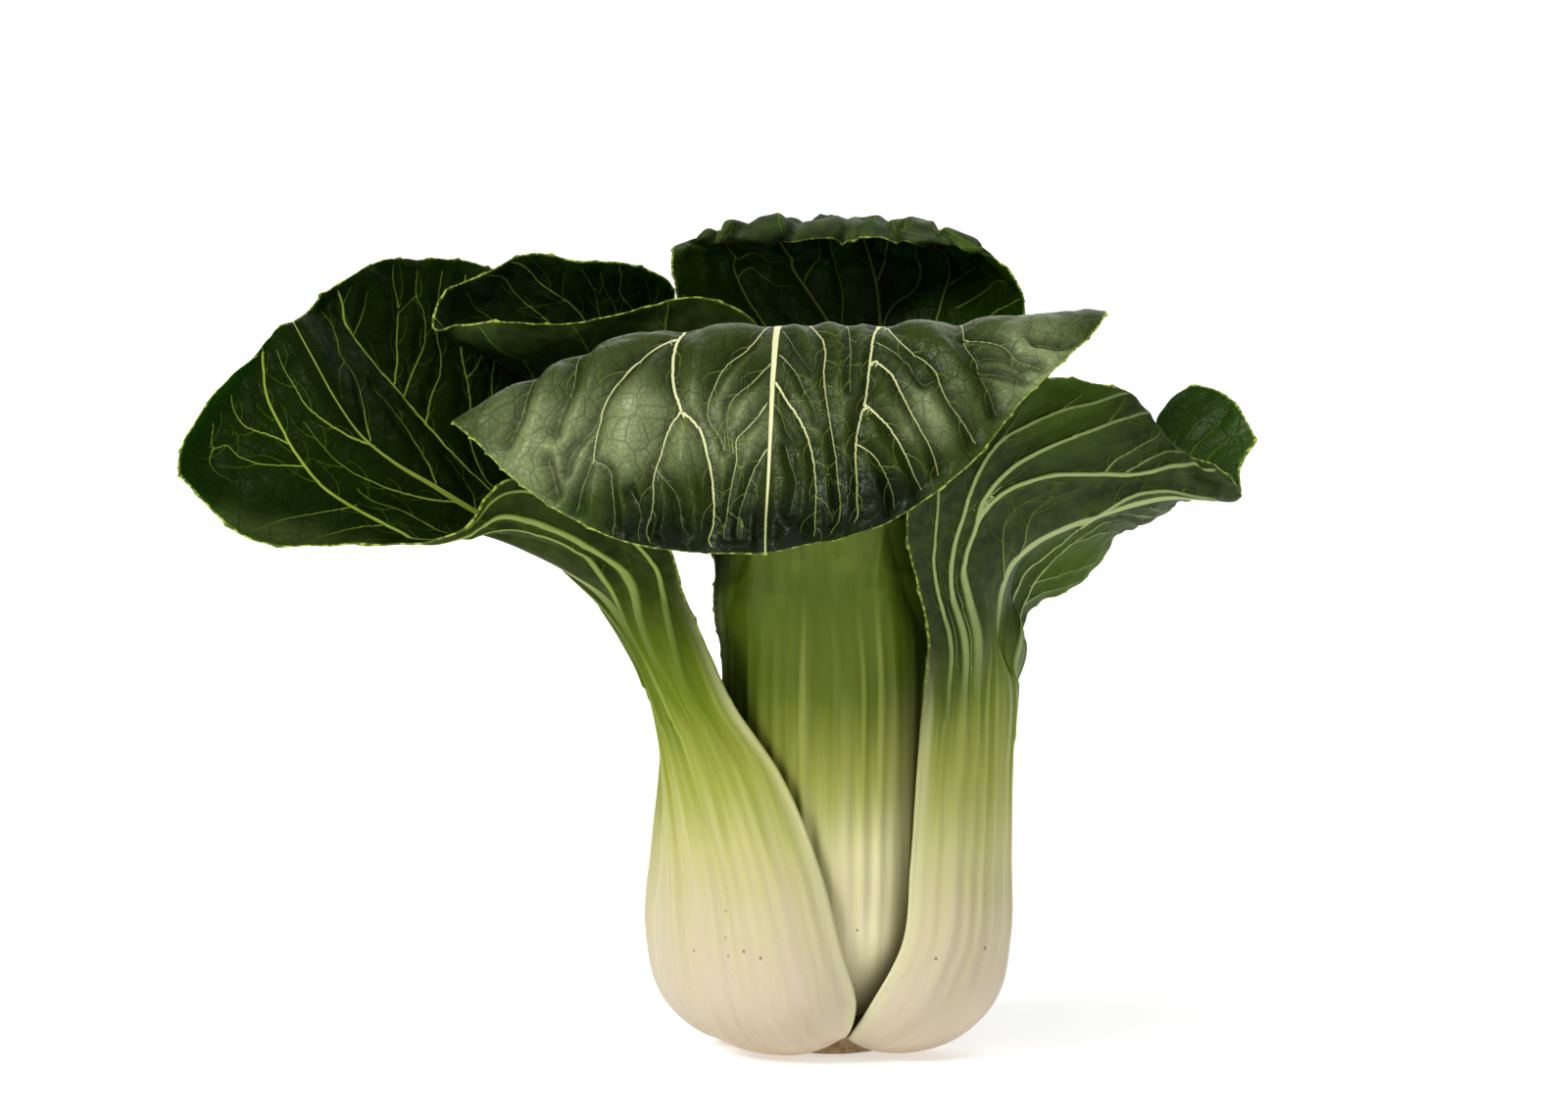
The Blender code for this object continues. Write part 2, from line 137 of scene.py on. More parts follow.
def curve(knots, values, places):
    """Values of a smooth curve through the knots at the given places."""
    flat = values.reshape(len(knots), -1)
    slopes = np.gradient(flat, knots, axis=0)
    places = np.clip(places, knots[0], knots[-1])
    k = np.clip(np.searchsorted(knots, places, side="right") - 1, 0, len(knots) - 2)
    gap = (knots[k + 1] - knots[k])[..., None]
    t = (places - knots[k])[..., None] / gap
    found = ((1 + 2 * t) * (1 - t) ** 2 * flat[k] + t * (1 - t) ** 2 * gap * slopes[k]
             + t * t * (3 - 2 * t) * flat[k + 1] - t * t * (1 - t) * gap * slopes[k + 1])
    return found.reshape(places.shape + values.shape[1:])


class Leaf:
    """A leaf as a smooth sheet through rows of five points, with a thickness that is greatest
    along the middle. Places on it are y, the distance up the leaf, and v, which runs from -1 at
    the right edge to 1 at the left edge, as seen from outside the head."""

    def __init__(self, profile, bearings, halves, tucks, rows, wave=WAVE, seed=0):
        stalk = stalk_points(profile, bearings, halves, tucks)
        self.points = np.vstack([stalk, blade_points(rows, stalk[-1, 2])])
        steps = np.linalg.norm(np.diff(self.points, axis=0), axis=2)[:, 1:4].mean(1)
        self.knots = np.concatenate([[0], np.cumsum(steps)])
        self.stalk_end = self.knots[len(stalk) - 1]
        across = np.linalg.norm(np.diff(self.points, axis=1), axis=2)
        self.halves = np.stack([across[:, 2:].sum(1), across[:, :2].sum(1)], 1)
        thick = np.array([station[2] for station in profile], float)
        share = np.linspace(0, 1, len(rows) + 1)[1:]
        self.middle_thickness = np.concatenate(
            [thick, LAMINA + TIP_RIB + (thick[-1] - LAMINA) * (1 - share) ** 1.6])
        width = self.halves[len(stalk) - 1].mean()
        self.rib_half = np.concatenate(
            [self.halves[:len(stalk)].mean(1), 2 + (width - 2) * (1 - share) ** 2.4])
        self.wave = wave
        self.seed = seed
        self.top = self.knots[-1]

    def sheet(self, y, v):
        rows = curve(self.knots, self.points, y)
        slopes = np.gradient(rows, 0.5, axis=-2)
        k = np.clip(((v + 1) * 2).astype(int), 0, 3)
        t = ((v + 1) * 2 - k)[..., None]
        low, high, low_slope, high_slope = (
            np.take_along_axis(table, index[..., None, None], -2)[..., 0, :]
            for table, index in ((rows, k), (rows, k + 1), (slopes, k), (slopes, k + 1)))
        return ((1 + 2 * t) * (1 - t) ** 2 * low + t * (1 - t) ** 2 * low_slope / 2
                + t * t * (3 - 2 * t) * high - t * t * (1 - t) * high_slope / 2)

    def normal(self, y, v):
        top = self.top
        along = (self.sheet(np.clip(y + 0.3, 0, top), v) - self.sheet(np.clip(y - 0.3, 0, top), v))
        across = (self.sheet(y, np.clip(v + 0.01, -1, 1)) - self.sheet(y, np.clip(v - 0.01, -1, 1)))
        return unit(np.cross(across, along))

    def edge_wave(self, y, v):
        """Waves that grow towards the edge of the blade."""
        start = np.clip((y - self.stalk_end) / 25, 0, 1)
        shift = 1.7 * self.seed + np.where(v > 0, 0, 2.1)
        return self.wave * start * np.abs(v) ** 5 * (
            np.sin(y / 4.5 + shift) + 0.5 * np.sin(y / 2.9 + 2 * shift))

    def half(self, y, v):
        """Distance from the midrib to the edge on the side of v."""
        halves = curve(self.knots, self.halves, y)
        return np.where(v > 0, halves[..., 0], halves[..., 1])

    def bell(self, y, v):
        """1 along the middle of the rib, falling to 0 where the blade begins."""
        x = np.abs(v) * self.half(y, v)
        return np.clip(1 - (x / curve(self.knots, self.rib_half, y)) ** RIB_BELL, 0, 1)


LEAVES = {
    "leaf_left": Leaf(
        OUTER_LEFT, [-36, -36, -37, -38, -39, -44, -53, -64],
        [(7.4, 7.6), (12, 12), (17, 18.5), (22.5, 23.5), (23.5, 22.5), (21, 21), (17, 19),
         (14, 15.5)],
        ([0.9, 0.9, 0.66, 0.36, 0.28, 0.38, 0.6, 0.9], 0.95),
        [row((-37, -19, 87.5), (-39, -6, 83.5), (-30, -30, 95.5), 1, 2),
         row((-43.5, -22, 96), (-45.5, -3, 94.5), (-33.5, -36, 105), 2, 2),
         row((-52, -26, 102), (-50, 3, 108), (-48, -44, 116), 3, 4),
         row((-61, -29, 106.5), (-54.5, 8, 126), (-64, -49, 118), 4, 4),
         row((-70, -32, 111), (-58.5, 12, 142), (-73.5, -46, 108), 5, 3),
         row((-79, -33, 116.5), (-64.5, 16, 154.5), (-90.5, -42, 104), 5, 1),
         row((-87.5, -33, 121.5), (-74, 18, 160.5), (-113.5, -38, 105), 5, -1),
         row((-94, -32, 127), (-83.5, 13, 161.5), (-125, -33, 114), 4, -1),
         row((-99, -30, 134), (-92, 6, 161), (-129, -30, 119.5), 3, 0),
         row((-103.5, -26, 141.5), (-99, -2, 157), (-125.5, -27, 128), 2, 0),
         row((-108, -19, 148.5), (-103, -10, 154), (-115, -22, 141.5), 1, 0)], seed=1),
    "leaf_front": Leaf(
        MIDDLE, [-2, -2, -2, -3, -3, -4, -4, -4], [8.2, 11, 16, 19, 20.5, 22, 23, 23.5],
        [1, 1, 1, 0.95, 0.9, 0.85, 0.8, 0.8],
        [row((-3, -28, 96), (-24, -23, 92.5), (20.5, -20, 93.5), 3, 3),
         row((-4, -30, 109.5), (-25, -24, 104.5), (21.5, -21, 107.5), 4, 4),
         row((-5, -35, 123.5), (-43, -33, 117.5), (26, -24, 122), 4, 4),
         row((-7.5, -44, 137), (-61.5, -47, 126), (40.5, -33, 137), 0, 3),
         row((-11, -57, 148), (-73.5, -57, 129.5), (52.5, -46, 150.5), -6, 1),
         row((-12, -69, 140.5), (-69, -62, 126), (47, -58, 144.5), -5, -1),
         row((-12.5, -76, 130), (-62, -67, 119.5), (35.5, -66, 134), -4, -2),
         row((-13, -80, 119), (-50.5, -74, 112), (24, -74, 121), -3, -2),
         row((-13.5, -82, 110), (-37.5, -79, 107), (9.5, -79, 111.5), -2, -2),
         row((-13.5, -83, 105.5), (-25.5, -82, 105.5), (-1, -81, 108), -0.5, -0.5)], seed=2),
    "leaf_right": Leaf(
        OUTER_RIGHT, [50, 50, 52, 57, 62, 65, 66, 65],
        [7.6, 12, (17.8, 18), (21.5, 21), 20, (19.5, 19), (19.5, 18), (19.5, 18)], 0.95,
        [row((29, -17, 86.5), (18.5, -30, 87.5), (37, -2, 82), 3, 3),
         row((30, -19, 94.5), (16.5, -33, 96.5), (38.5, 1, 87), 3, 1),
         row((33, -23, 102), (14, -38, 107), (43, 5, 91), 3, -1),
         row((38.5, -27, 107), (16, -43, 120), (49, 7, 93.5), 3, -2),
         row((46, -30, 110.5), (26, -45, 131.5), (54, 7, 98.5), 4, -2),
         row((54, -31, 113), (40, -42, 137.5), (58.5, 7, 104.5), 4, -1),
         row((61, -30, 114.5), (51, -36, 136.5), (64, 8, 107.5), 4, 2),
         row((66.5, -28, 115), (59, -32, 134.5), (69, 14, 116), 3, 4),
         row((72, -25, 114.5), (63, -31, 128), (67.5, 18, 127.5), 2, 6),
         row((76, -21, 114), (68.5, -28, 123), (73.5, 13, 135), 1, 6),
         row((79.5, -17, 113.5), (75, -25, 120.5), (81, 4, 133), 1, 5),
         row((82, -13, 114), (79.5, -20, 117), (86, -5, 124.5), 0.5, 2)], seed=3),
    "leaf_upper_left": Leaf(
        OUTER_TUCKED, -100,
        [(6.3, 4), (10.5, 6.5), (14, 8.5), (16, 10), (16.5, 11.5), (16, 11.5), (14, 10), (12, 10.5)],
        ([1, 1, 1, 1.2, 1.2, 1.2, 1.3, 1.4], [1, 1, 1.3, 1.8, 1.8, 1.8, 1.6, 1.5]),
        [row((-39, 7, 92), (-35.5, 20, 93), (-35.5, -5, 92), 2, 2),
         row((-42, 7, 102), (-39.5, 22, 105.5), (-37.5, -8, 102.5), 3, 3),
         row((-45, 6, 114), (-40.5, 24, 119.5), (-37.5, -12, 115), 4, 4),
         row((-49.5, 5, 126), (-38.5, 26, 138), (-27.5, -15, 126.5), 5, 5),
         row((-55, 4, 134), (-34.5, 24, 156.5), (-15.5, -16, 148), 6, 5),
         row((-61, 2, 138), (-42.5, 20, 160.5), (-27.5, -16, 153.5), 6, 4),
         row((-67, 0, 141), (-52.5, 16, 161), (-40.5, -16, 150.5), 5, 4),
         row((-72, -2, 143.5), (-62.5, 12, 162.5), (-54, -15, 148.5), 5, 4),
         row((-77, -4, 145.5), (-72, 7, 158), (-69, -13, 148.5), 3, 3),
         row((-81, -5, 149.5), (-79, 1, 155), (-79.5, -9, 146.5), 1, 1)], seed=4),
    "leaf_back_tall": Leaf(
        INNER, 168, [8, 10, 13, 15, 15.5, 16, 16], 1.0,
        [row((6.5, 24, 93), (18.5, 14, 93.5), (-10, 16, 93.5), 2, 2),
         row((8, 29, 109), (26.5, 14, 111.5), (-15, 16, 111.5), 3, 3),
         row((9.5, 35, 127.5), (33.5, 10, 130), (-21, 14, 130), 4, 4),
         row((10.5, 40, 144), (39.5, 4, 146), (-27, 8, 144), 7, 7),
         row((9.5, 42, 156.5), (38, 0, 154.5), (-32, 2, 155), 8, 8),
         row((7, 40, 165.5), (34.5, 2, 160), (-33, 3, 162), 6, 6),
         row((5, 34, 169.5), (31.5, 8, 162.5), (-31.5, 8, 164.5), 1.5, 2.5),
         row((4.5, 27, 168), (28.5, 12, 163.5), (-27, 12, 164.5), 1, 1),
         row((4, 24, 165), (21.5, 16, 164.5), (-18, 17, 164.5), 0.5, 0.5)], seed=5),
    "leaf_back_outer": Leaf(
        OUTER_REAR, [182, 182, 182, 182, 182, 183, 184, 186],
        [7.6, 12, 18.2, 22.5, 22, 21, 20, 19], 0.95,
        even_rows(188, [(33, 92, 19, 4, 0, 3), (38, 106, 22, 5, 1, 3), (46, 118, 30, 8, 4, 3),
                        (58, 127, 38, 8, 8, 4), (72, 131, 43, 5, 11, 4), (86, 130, 42, 2, 12, 4),
                        (98, 126, 35, 0, 9, 4), (107, 119, 23, 0, 5, 2), (111, 113, 10, 1, 2, 1)]),
        seed=6),
    "leaf_right_rear": Leaf(
        MIDDLE, [112, 112, 112, 112, 112, 112, 113, 114], [8.2, 11, 16, 18.5, 19, 18, 16, 14], 1.0,
        even_rows(116, [(27, 92, 12.5, 2, 0, 1), (31, 103, 14, 3, 1, 2), (37, 113, 19, 5, 2, 3),
                        (45, 120, 23, 6, 3, 4), (54, 124, 24, 4, 4, 4), (62, 125, 20, 3, 3, 3),
                        (69, 123, 13, 0, 2, 2), (72, 121, 6, 0, 1, 1)]), seed=7),
    "leaf_left_rear": Leaf(
        MIDDLE, 214, [8.2, 11, 15, 16, 15, 13, 11, 9.5], 1.0,
        even_rows(210, [(25.5, 93, 9.5, 1, 0, 1), (28, 104, 12, 1, 0, 1), (33, 116, 16, 1, 1, 2),
                        (40, 128, 19, 2, 2, 3), (48, 138, 20, 2, 3, 4), (55, 145, 17, 1, 4, 3),
                        (61, 148, 12, 1, 2, 1), (63, 148, 6, 0, 1, 0)]), seed=8),
    "leaf_inner_right": Leaf(
        INNER, 50, [8, 10, 12.5, 13.5, 13.5, 13.5, 13], 1.0,
        even_rows(49, [(17.5, 82, 14, 4, 0, 1), (19, 95, 18.5, 8, 0, 2), (20, 107, 20.5, 10, 0, 3),
                       (21, 118, 20, 9, 0, 3), (21, 127, 15, 6, 0, 2), (20, 132, 7, 2, 0, 1)]),
        seed=9),
    "leaf_inner_left": Leaf(
        INNER, -72, [8, 10, 12.5, 13.5, 13.5, 13, 12.5], 1.0,
        even_rows(-72, [(17.5, 82, 13, 4, 0, 1), (18.5, 94, 17, 7, 0, 2), (19.5, 105, 19, 9, 0, 3),
                        (20, 115, 17, 8, 0, 3), (19.5, 123, 12, 5, 0, 2), (18.5, 127, 6, 2, 0, 1)]),
        seed=10),
    "heart_leaf_tall": Leaf(
        HEART, 105, [4.5, 6, 7.5, 8, 8], 1.0,
        even_rows(103, [(10, 62, 8, 3, 0, 1), (11, 74, 9.5, 6, 0, 2), (11.5, 85, 10.5, 6, 0, 2),
                        (11.5, 94, 9, 5, 0, 2), (10.5, 100, 5, 3, 0, 1)]), wave=0.3, seed=11),
    "heart_leaf_middle": Leaf(
        HEART, 228, [4.5, 6, 7.5, 7.8, 7.8], 1.0,
        even_rows(228, [(9.8, 60, 8, 3, 0, 1), (10.6, 70, 9, 5, 0, 2), (11, 80, 9, 5, 0, 2),
                        (10.6, 88, 7.5, 4, 0, 2), (10, 93, 4, 2, 0, 1)]), wave=0.3, seed=12),
    "heart_leaf_short": Leaf(
        HEART, -15, [4.5, 6, 7.5, 7.8, 7.8], 1.0,
        even_rows(-15, [(9.6, 58, 7.8, 3, 0, 1), (10.3, 66, 8, 4, 0, 2), (10.4, 74, 8, 4, 0, 2),
                        (9.8, 81, 5, 3, 0, 1)]), wave=0.3, seed=13),
}

# Veins.

VEIN_STEP = 0.4       # distance between the samples of a vein
VEIN_WIDTH = 0.8      # share of the widths below that is used
V_REACH = 40          # distance that counts as one unit of v where a vein's curve is spaced
ROUGH_COUNT = 60      # samples of a vein when only its course matters
MAIN_VEIN = 0.42      # half width at the start from which a side vein counts as a main one
LOWEST_VEIN = -6      # where the lowest unseen side vein starts, from the top of the stalk
VEIN_SPAN = 0.88      # share of the blade along which they start

TWIG_FROM = 0.3       # half width from which a vein has twiglets
TWIGLET_WIDTH = (0.24, 0.12)
TWIGLET_LENGTH = (3.5, 8)
TWIGLET_GAP = (2.5, 5.5)
TWIGLET_SLANT = (0.7, 1.0)

# Side veins as traced in the photograph: half width at the start and at the end, then
# places (y, 100 v) on the leaf.
VEINS = {
    "leaf_front": [
        (0.55, 0.2, [(175, -1), (178, -4), (184, -11), (190, -17), (198, -24), (207, -36), (212, -55)]),
        (0.9, 0.55, [(100, 20), (130, 22), (150, 27), (160, 28), (164, 30), (173, 32), (179, 31)]),
        (0.6, 0.3, [(179, 31), (182, 27), (189, 25), (196, 26), (205, 33), (212, 60)]),
        (0.45, 0.2, [(179, 31), (182, 36), (188, 43), (192, 49), (198, 58), (208, 90)]),
        (0.5, 0.3, [(161, 30), (164, 38), (169, 49), (175, 57), (180, 62), (186, 69)]),
        (0.25, 0.15, [(186, 69), (188, 66), (193, 70), (198, 79), (204, 96)]),
        (0.2, 0.15, [(186, 69), (190, 78), (196, 93)]),
        (0.45, 0.15, [(120, 35), (145, 52), (159, 59), (165, 62), (172, 70), (177, 76)]),
        (0.3, 0.15, [(130, 50), (150, 70), (161, 75), (168, 82), (175, 92)]),
        (0.2, 0.15, [(183, 84), (187, 87), (191, 92)]),
        (0.4, 0.2, [(156, 2), (164, 7), (169, 15), (174, 19), (182, 22), (186, 19), (189, 18)]),
        (0.32, 0.15, [(170, 1), (174, 7), (178, 14), (183, 16), (189, 16)]),
        (0.35, 0.2, [(180, 2), (184, 8), (186, 12), (192, 14), (199, 19), (205, 25), (209, 33)]),
        (0.32, 0.15, [(190, 1), (193, 5), (198, 10), (203, 15), (209, 22)]),
        (0.22, 0.12, [(161, -2), (167, -7), (173, -13)]),
        (0.3, 0.12, [(168, -2), (171, -6), (177, -11), (181, -15), (185, -18)]),
        (0.2, 0.12, [(180, -1), (183, -4), (187, -7), (189, -10)]),
        (0.2, 0.12, [(190, -7), (194, -10), (198, -14), (204, -15)]),
        (0.5, 0.2, [(130, -8), (160, -11), (165, -15), (174, -17), (182, -21), (192, -29), (199, -37),
                    (205, -50), (212, -75)]),
        (0.3, 0.15, [(150, -18), (159, -21), (168, -24), (175, -26), (179, -28)]),
        (0.85, 0.3, [(100, -20), (130, -26), (158, -30), (165, -30), (174, -32), (182, -35), (187, -36),
                     (193, -39), (201, -51), (209, -78)]),
        (0.5, 0.25, [(182, -35), (185, -42), (189, -52), (194, -64), (198, -76), (201, -89)]),
        (0.35, 0.2, [(191, -38), (193, -46), (196, -55), (200, -68), (205, -88)]),
        (0.5, 0.25, [(171, -33), (175, -40), (180, -47), (186, -58), (192, -72), (195, -80),
                     (198, -89)]),
        (0.28, 0.15, [(166, -32), (168, -36), (172, -43), (177, -50), (179, -55), (178, -58)]),
        (0.5, 0.25, [(140, -28), (159, -33), (166, -39), (171, -47), (176, -56), (182, -66), (187, -79),
                     (192, -93)]),
        (0.35, 0.18, [(145, -50), (158, -55), (165, -58), (168, -60), (174, -68), (179, -76),
                      (182, -83), (187, -94)]),
        (0.32, 0.2, [(166, -59), (167, -64), (169, -72), (174, -82), (177, -94)]),
        (0.18, 0.12, [(177, -72), (178, -82), (180, -93)]),
        (0.15, 0.12, [(173, -69), (174, -78), (177, -88)]),
        (0.2, 0.12, [(169, -84), (170, -90), (171, -96)]),
        (0.2, 0.12, [(190, 48), (198, 45), (207, 57)]),
        (0.16, 0.12, [(195, 64), (198, 66), (207, 92)]),
        (0.2, 0.12, [(174, 56), (180, 65), (182, 72), (187, 81)]),
        (0.6, 0.3, [(95, 40), (110, 50), (125, 65), (135, 85), (138, 97)]),
        (0.6, 0.3, [(95, -40), (110, -50), (125, -65), (140, -85), (146, -97)]),
    ],
    "leaf_left": [
        (0.9, 0.45, [(80, 20), (110, 16), (130, 18), (150, 22), (160, 24), (170, 31), (180, 40),
                     (188, 48), (193, 57), (196, 72), (199, 86)]),
        (0.4, 0.2, [(178, 39), (179, 50), (181, 60), (183, 72), (187, 89), (188, 95)]),
        (0.2, 0.15, [(183, 72), (182, 77), (181, 83)]),
        (0.2, 0.12, [(196, 72), (196, 89)]),
        (0.28, 0.15, [(190, 52), (190, 66), (191, 80)]),
        (0.35, 0.2, [(175, 36), (175, 52), (175, 61), (176, 68), (178, 75), (181, 82), (183, 93)]),
        (0.35, 0.2, [(168, 29), (169, 45), (169, 53), (171, 62), (173, 67), (176, 80), (178, 94)]),
        (0.7, 0.3, [(90, 42), (120, 36), (140, 29), (151, 27), (156, 36), (161, 54), (164, 60),
                    (167, 67), (171, 82), (173, 94)]),
        (0.3, 0.2, [(163, 58), (162, 64), (162, 70), (164, 85)]),
        (0.6, 0.3, [(85, 60), (110, 55), (130, 50), (145, 55), (157, 64), (159, 73), (162, 90)]),
        (0.5, 0.25, [(90, 75), (110, 74), (130, 75), (142, 80), (150, 90), (153, 96)]),
        (0.4, 0.2, [(179, 2), (182, 9), (185, 18), (188, 28), (191, 31), (192, 32), (194, 44),
                    (197, 54), (202, 65)]),
        (0.25, 0.12, [(191, 30), (192, 17), (189, 5)]),
        (0.4, 0.18, [(160, 2), (163, 9), (168, 16), (175, 24), (179, 28), (183, 30)]),
        (0.45, 0.2, [(178, 0), (184, -8), (188, -14), (193, -20), (196, -22), (200, -27), (204, -33)]),
        (0.95, 0.4, [(80, -22), (95, -33), (110, -42), (121, -50), (131, -60), (140, -70), (149, -80),
                     (154, -82), (159, -67), (165, -52), (170, -44), (176, -41), (183, -38), (191, -37),
                     (195, -40), (202, -48), (206, -60)]),
        (0.35, 0.2, [(186, -38), (189, -44), (193, -57), (197, -67), (201, -79)]),
        (0.3, 0.2, [(180, -40), (181, -45), (184, -59), (187, -65), (191, -70), (192, -79),
                    (197, -84)]),
        (0.25, 0.12, [(192, -79), (190, -82), (186, -82), (183, -79)]),
        (0.4, 0.18, [(154, -2), (159, -12), (164, -17), (171, -19), (177, -22), (184, -23),
                     (189, -24)]),
        (0.8, 0.2, [(82, -10), (101, -13), (109, -17), (117, -27), (124, -38), (133, -48), (145, -53),
                    (153, -50), (157, -44), (162, -38), (167, -35), (171, -30)]),
        (0.3, 0.15, [(150, 2), (152, 12), (157, 17), (160, 20)]),
        (0.25, 0.15, [(168, -45), (171, -60), (173, -72), (174, -94)]),
        (0.25, 0.15, [(162, -60), (165, -68), (167, -80), (168, -93)]),
        (0.7, 0.3, [(85, -55), (100, -68), (112, -77), (125, -85), (138, -90), (147, -95)]),
    ],
    "leaf_right": [
        (0.6, 0.3, [(133, -6), (137, 1), (141, 5), (146, 9), (152, 9), (158, 8), (168, 8)]),
        (0.95, 0.4, [(70, 40), (85, 50), (98, 53), (102, 52), (108, 49), (114, 46), (118, 45),
                     (123, 47), (127, 48), (132, 45), (136, 40), (139, 34), (143, 29), (147, 25),
                     (152, 25), (159, 34), (166, 55), (173, 80)]),
        (0.35, 0.18, [(143, 30), (146, 38), (150, 45), (155, 55), (158, 70)]),
        (0.35, 0.18, [(146, 26), (150, 32), (156, 42), (163, 62), (168, 85)]),
        (0.9, 0.35, [(70, 60), (90, 64), (102, 65), (106, 64), (111, 60), (115, 58), (121, 58),
                     (125, 64), (129, 71), (132, 75), (137, 76), (140, 77), (146, 81), (150, 88),
                     (154, 96)]),
        (0.28, 0.15, [(141, 78), (145, 87), (147, 96)]),
        (0.28, 0.15, [(131, 74), (135, 81), (137, 88)]),
        (0.65, 0.3, [(121, 47), (125, 53), (131, 58), (139, 59), (142, 60), (146, 64), (148, 67),
                     (152, 72), (156, 80), (159, 93)]),
        (0.25, 0.15, [(147, 66), (150, 77), (153, 90)]),
        (0.65, 0.35, [(80, 78), (101, 79), (105, 80), (110, 77), (114, 75), (118, 76), (121, 80),
                      (124, 88), (126, 96)]),
        (0.35, 0.15, [(108, 0), (112, 9), (119, 22), (123, 28), (128, 32), (131, 31)]),
        (0.3, 0.15, [(116, 0), (121, 8), (126, 19), (132, 25), (137, 23)]),
        (0.85, 0.3, [(75, -30), (97, -40), (105, -48), (111, -50), (117, -47), (123, -46), (129, -40),
                     (133, -26), (138, -20), (146, -25), (152, -40), (158, -60)]),
        (0.75, 0.3, [(75, -55), (96, -67), (105, -76), (112, -72), (118, -62), (124, -56), (130, -54),
                     (136, -52), (143, -54), (150, -60)]),
        (0.4, 0.2, [(114, -68), (118, -72), (123, -78), (131, -90)]),
        (0.4, 0.2, [(108, -76), (113, -83), (119, -88), (126, -96)]),
        (0.35, 0.2, [(128, -54), (134, -62), (139, -75), (142, -92)]),
        (0.3, 0.15, [(156, -30), (164, -55), (167, -75), (171, -93)]),
        (0.35, 0.2, [(160, -10), (166, -35), (171, -60), (173, -70), (175, -93)]),
        (0.3, 0.2, [(168, -10), (172, -40), (175, -60), (178, -80), (179, -93)]),
        (0.25, 0.15, [(150, -15), (157, -50), (161, -75), (164, -93)]),
    ],
    "leaf_upper_left": [
        (0.6, 0.3, [(135, 3), (150, 30), (162, 59), (167, 67), (171, 73), (175, 79), (177, 84),
                    (182, 96)]),
        (0.45, 0.2, [(120, 12), (140, 32), (150, 45), (159, 62), (163, 74), (166, 82), (170, 93)]),
        (0.45, 0.2, [(112, 20), (135, 42), (148, 57), (157, 69), (160, 75), (163, 81), (166, 90)]),
        (0.4, 0.25, [(105, 30), (128, 54), (145, 68), (154, 76), (160, 81), (162, 90), (164, 97)]),
        (0.45, 0.2, [(98, 40), (120, 64), (142, 78), (154, 87), (158, 93)]),
        (0.5, 0.25, [(150, 3), (158, 25), (168, 50), (178, 68), (181, 79), (186, 94)]),
        (0.2, 0.12, [(168, 68), (172, 61), (175, 55)]),
        (0.25, 0.15, [(165, 63), (170, 75), (171, 81), (172, 88)]),
        (0.6, 0.25, [(95, -25), (115, -35), (135, -55), (146, -78), (150, -95)]),
        (0.5, 0.25, [(120, -10), (145, -35), (160, -70), (166, -95)]),
        (0.45, 0.2, [(145, -4), (162, -35), (174, -75), (178, -95)]),
        (0.35, 0.2, [(162, 2), (172, 25), (183, 50), (189, 80)]),
        (0.35, 0.2, [(162, -2), (174, -30), (184, -60), (188, -85)]),
    ],
    "leaf_back_tall": [
        (0.7, 0.35, [(95, -5), (120, -12), (140, -21), (148, -27), (153, -31), (157, -34), (165, -42),
                     (172, -52)]),
        (0.35, 0.2, [(150, -27), (154, -22), (158, -20), (165, -19)]),
        (0.32, 0.2, [(134, -16), (140, -16), (147, -14), (154, -15), (160, -14), (168, -12)]),
        (0.35, 0.2, [(149, 1), (154, 7), (157, 10), (164, 13), (170, 15)]),
        (0.4, 0.2, [(138, 1), (141, 3), (144, 8), (146, 15), (150, 21), (155, 23), (162, 25),
                    (169, 27)]),
        (0.6, 0.3, [(90, 5), (120, 16), (139, 25), (145, 29), (150, 34), (154, 35), (160, 37),
                    (170, 42)]),
        (0.3, 0.2, [(148, 34), (150, 44), (152, 53), (156, 62)]),
        (0.6, 0.3, [(80, -20), (105, -34), (120, -42), (142, -49), (147, -53), (154, -57), (157, -60),
                    (165, -70), (169, -85)]),
        (0.25, 0.15, [(155, -57), (156, -47), (154, -41), (154, -35)]),
        (0.25, 0.15, [(151, -55), (153, -48), (151, -43), (149, -38), (149, -32)]),
        (0.25, 0.15, [(138, -26), (141, -32), (143, -36), (146, -39)]),
        (0.5, 0.25, [(75, 20), (100, 36), (125, 44), (140, 52), (142, 60), (144, 80), (146, 96)]),
        (0.28, 0.15, [(143, 36), (146, 51), (149, 66), (150, 85)]),
        (0.45, 0.25, [(80, -45), (110, -60), (130, -70), (142, -85), (147, -96)]),
        (0.4, 0.2, [(80, 45), (105, 65), (122, 80), (130, 96)]),
        (0.4, 0.2, [(75, -60), (100, -75), (118, -88), (124, -96)]),
        (0.3, 0.15, [(160, 37), (163, 50), (165, 70), (166, 93)]),
    ],
}


class Vein:
    """A side vein through places (y, v) on a leaf, with its half width at each end."""

    def __init__(self, start, end, places):
        self.places = np.array(places, float)
        self.start = start
        self.end = end


def smooth_line(places, count):
    """The places joined by a smooth curve."""
    steps = np.hypot(np.diff(places[:, 0]), V_REACH * np.diff(places[:, 1]))
    knots = np.concatenate([[0], np.cumsum(steps)])
    return curve(knots, places, np.linspace(0, knots[-1], count))


def traced_veins(name):
    return [Vein(start, end, np.array(places) / (1, 100)) for start, end, places in VEINS[name]]


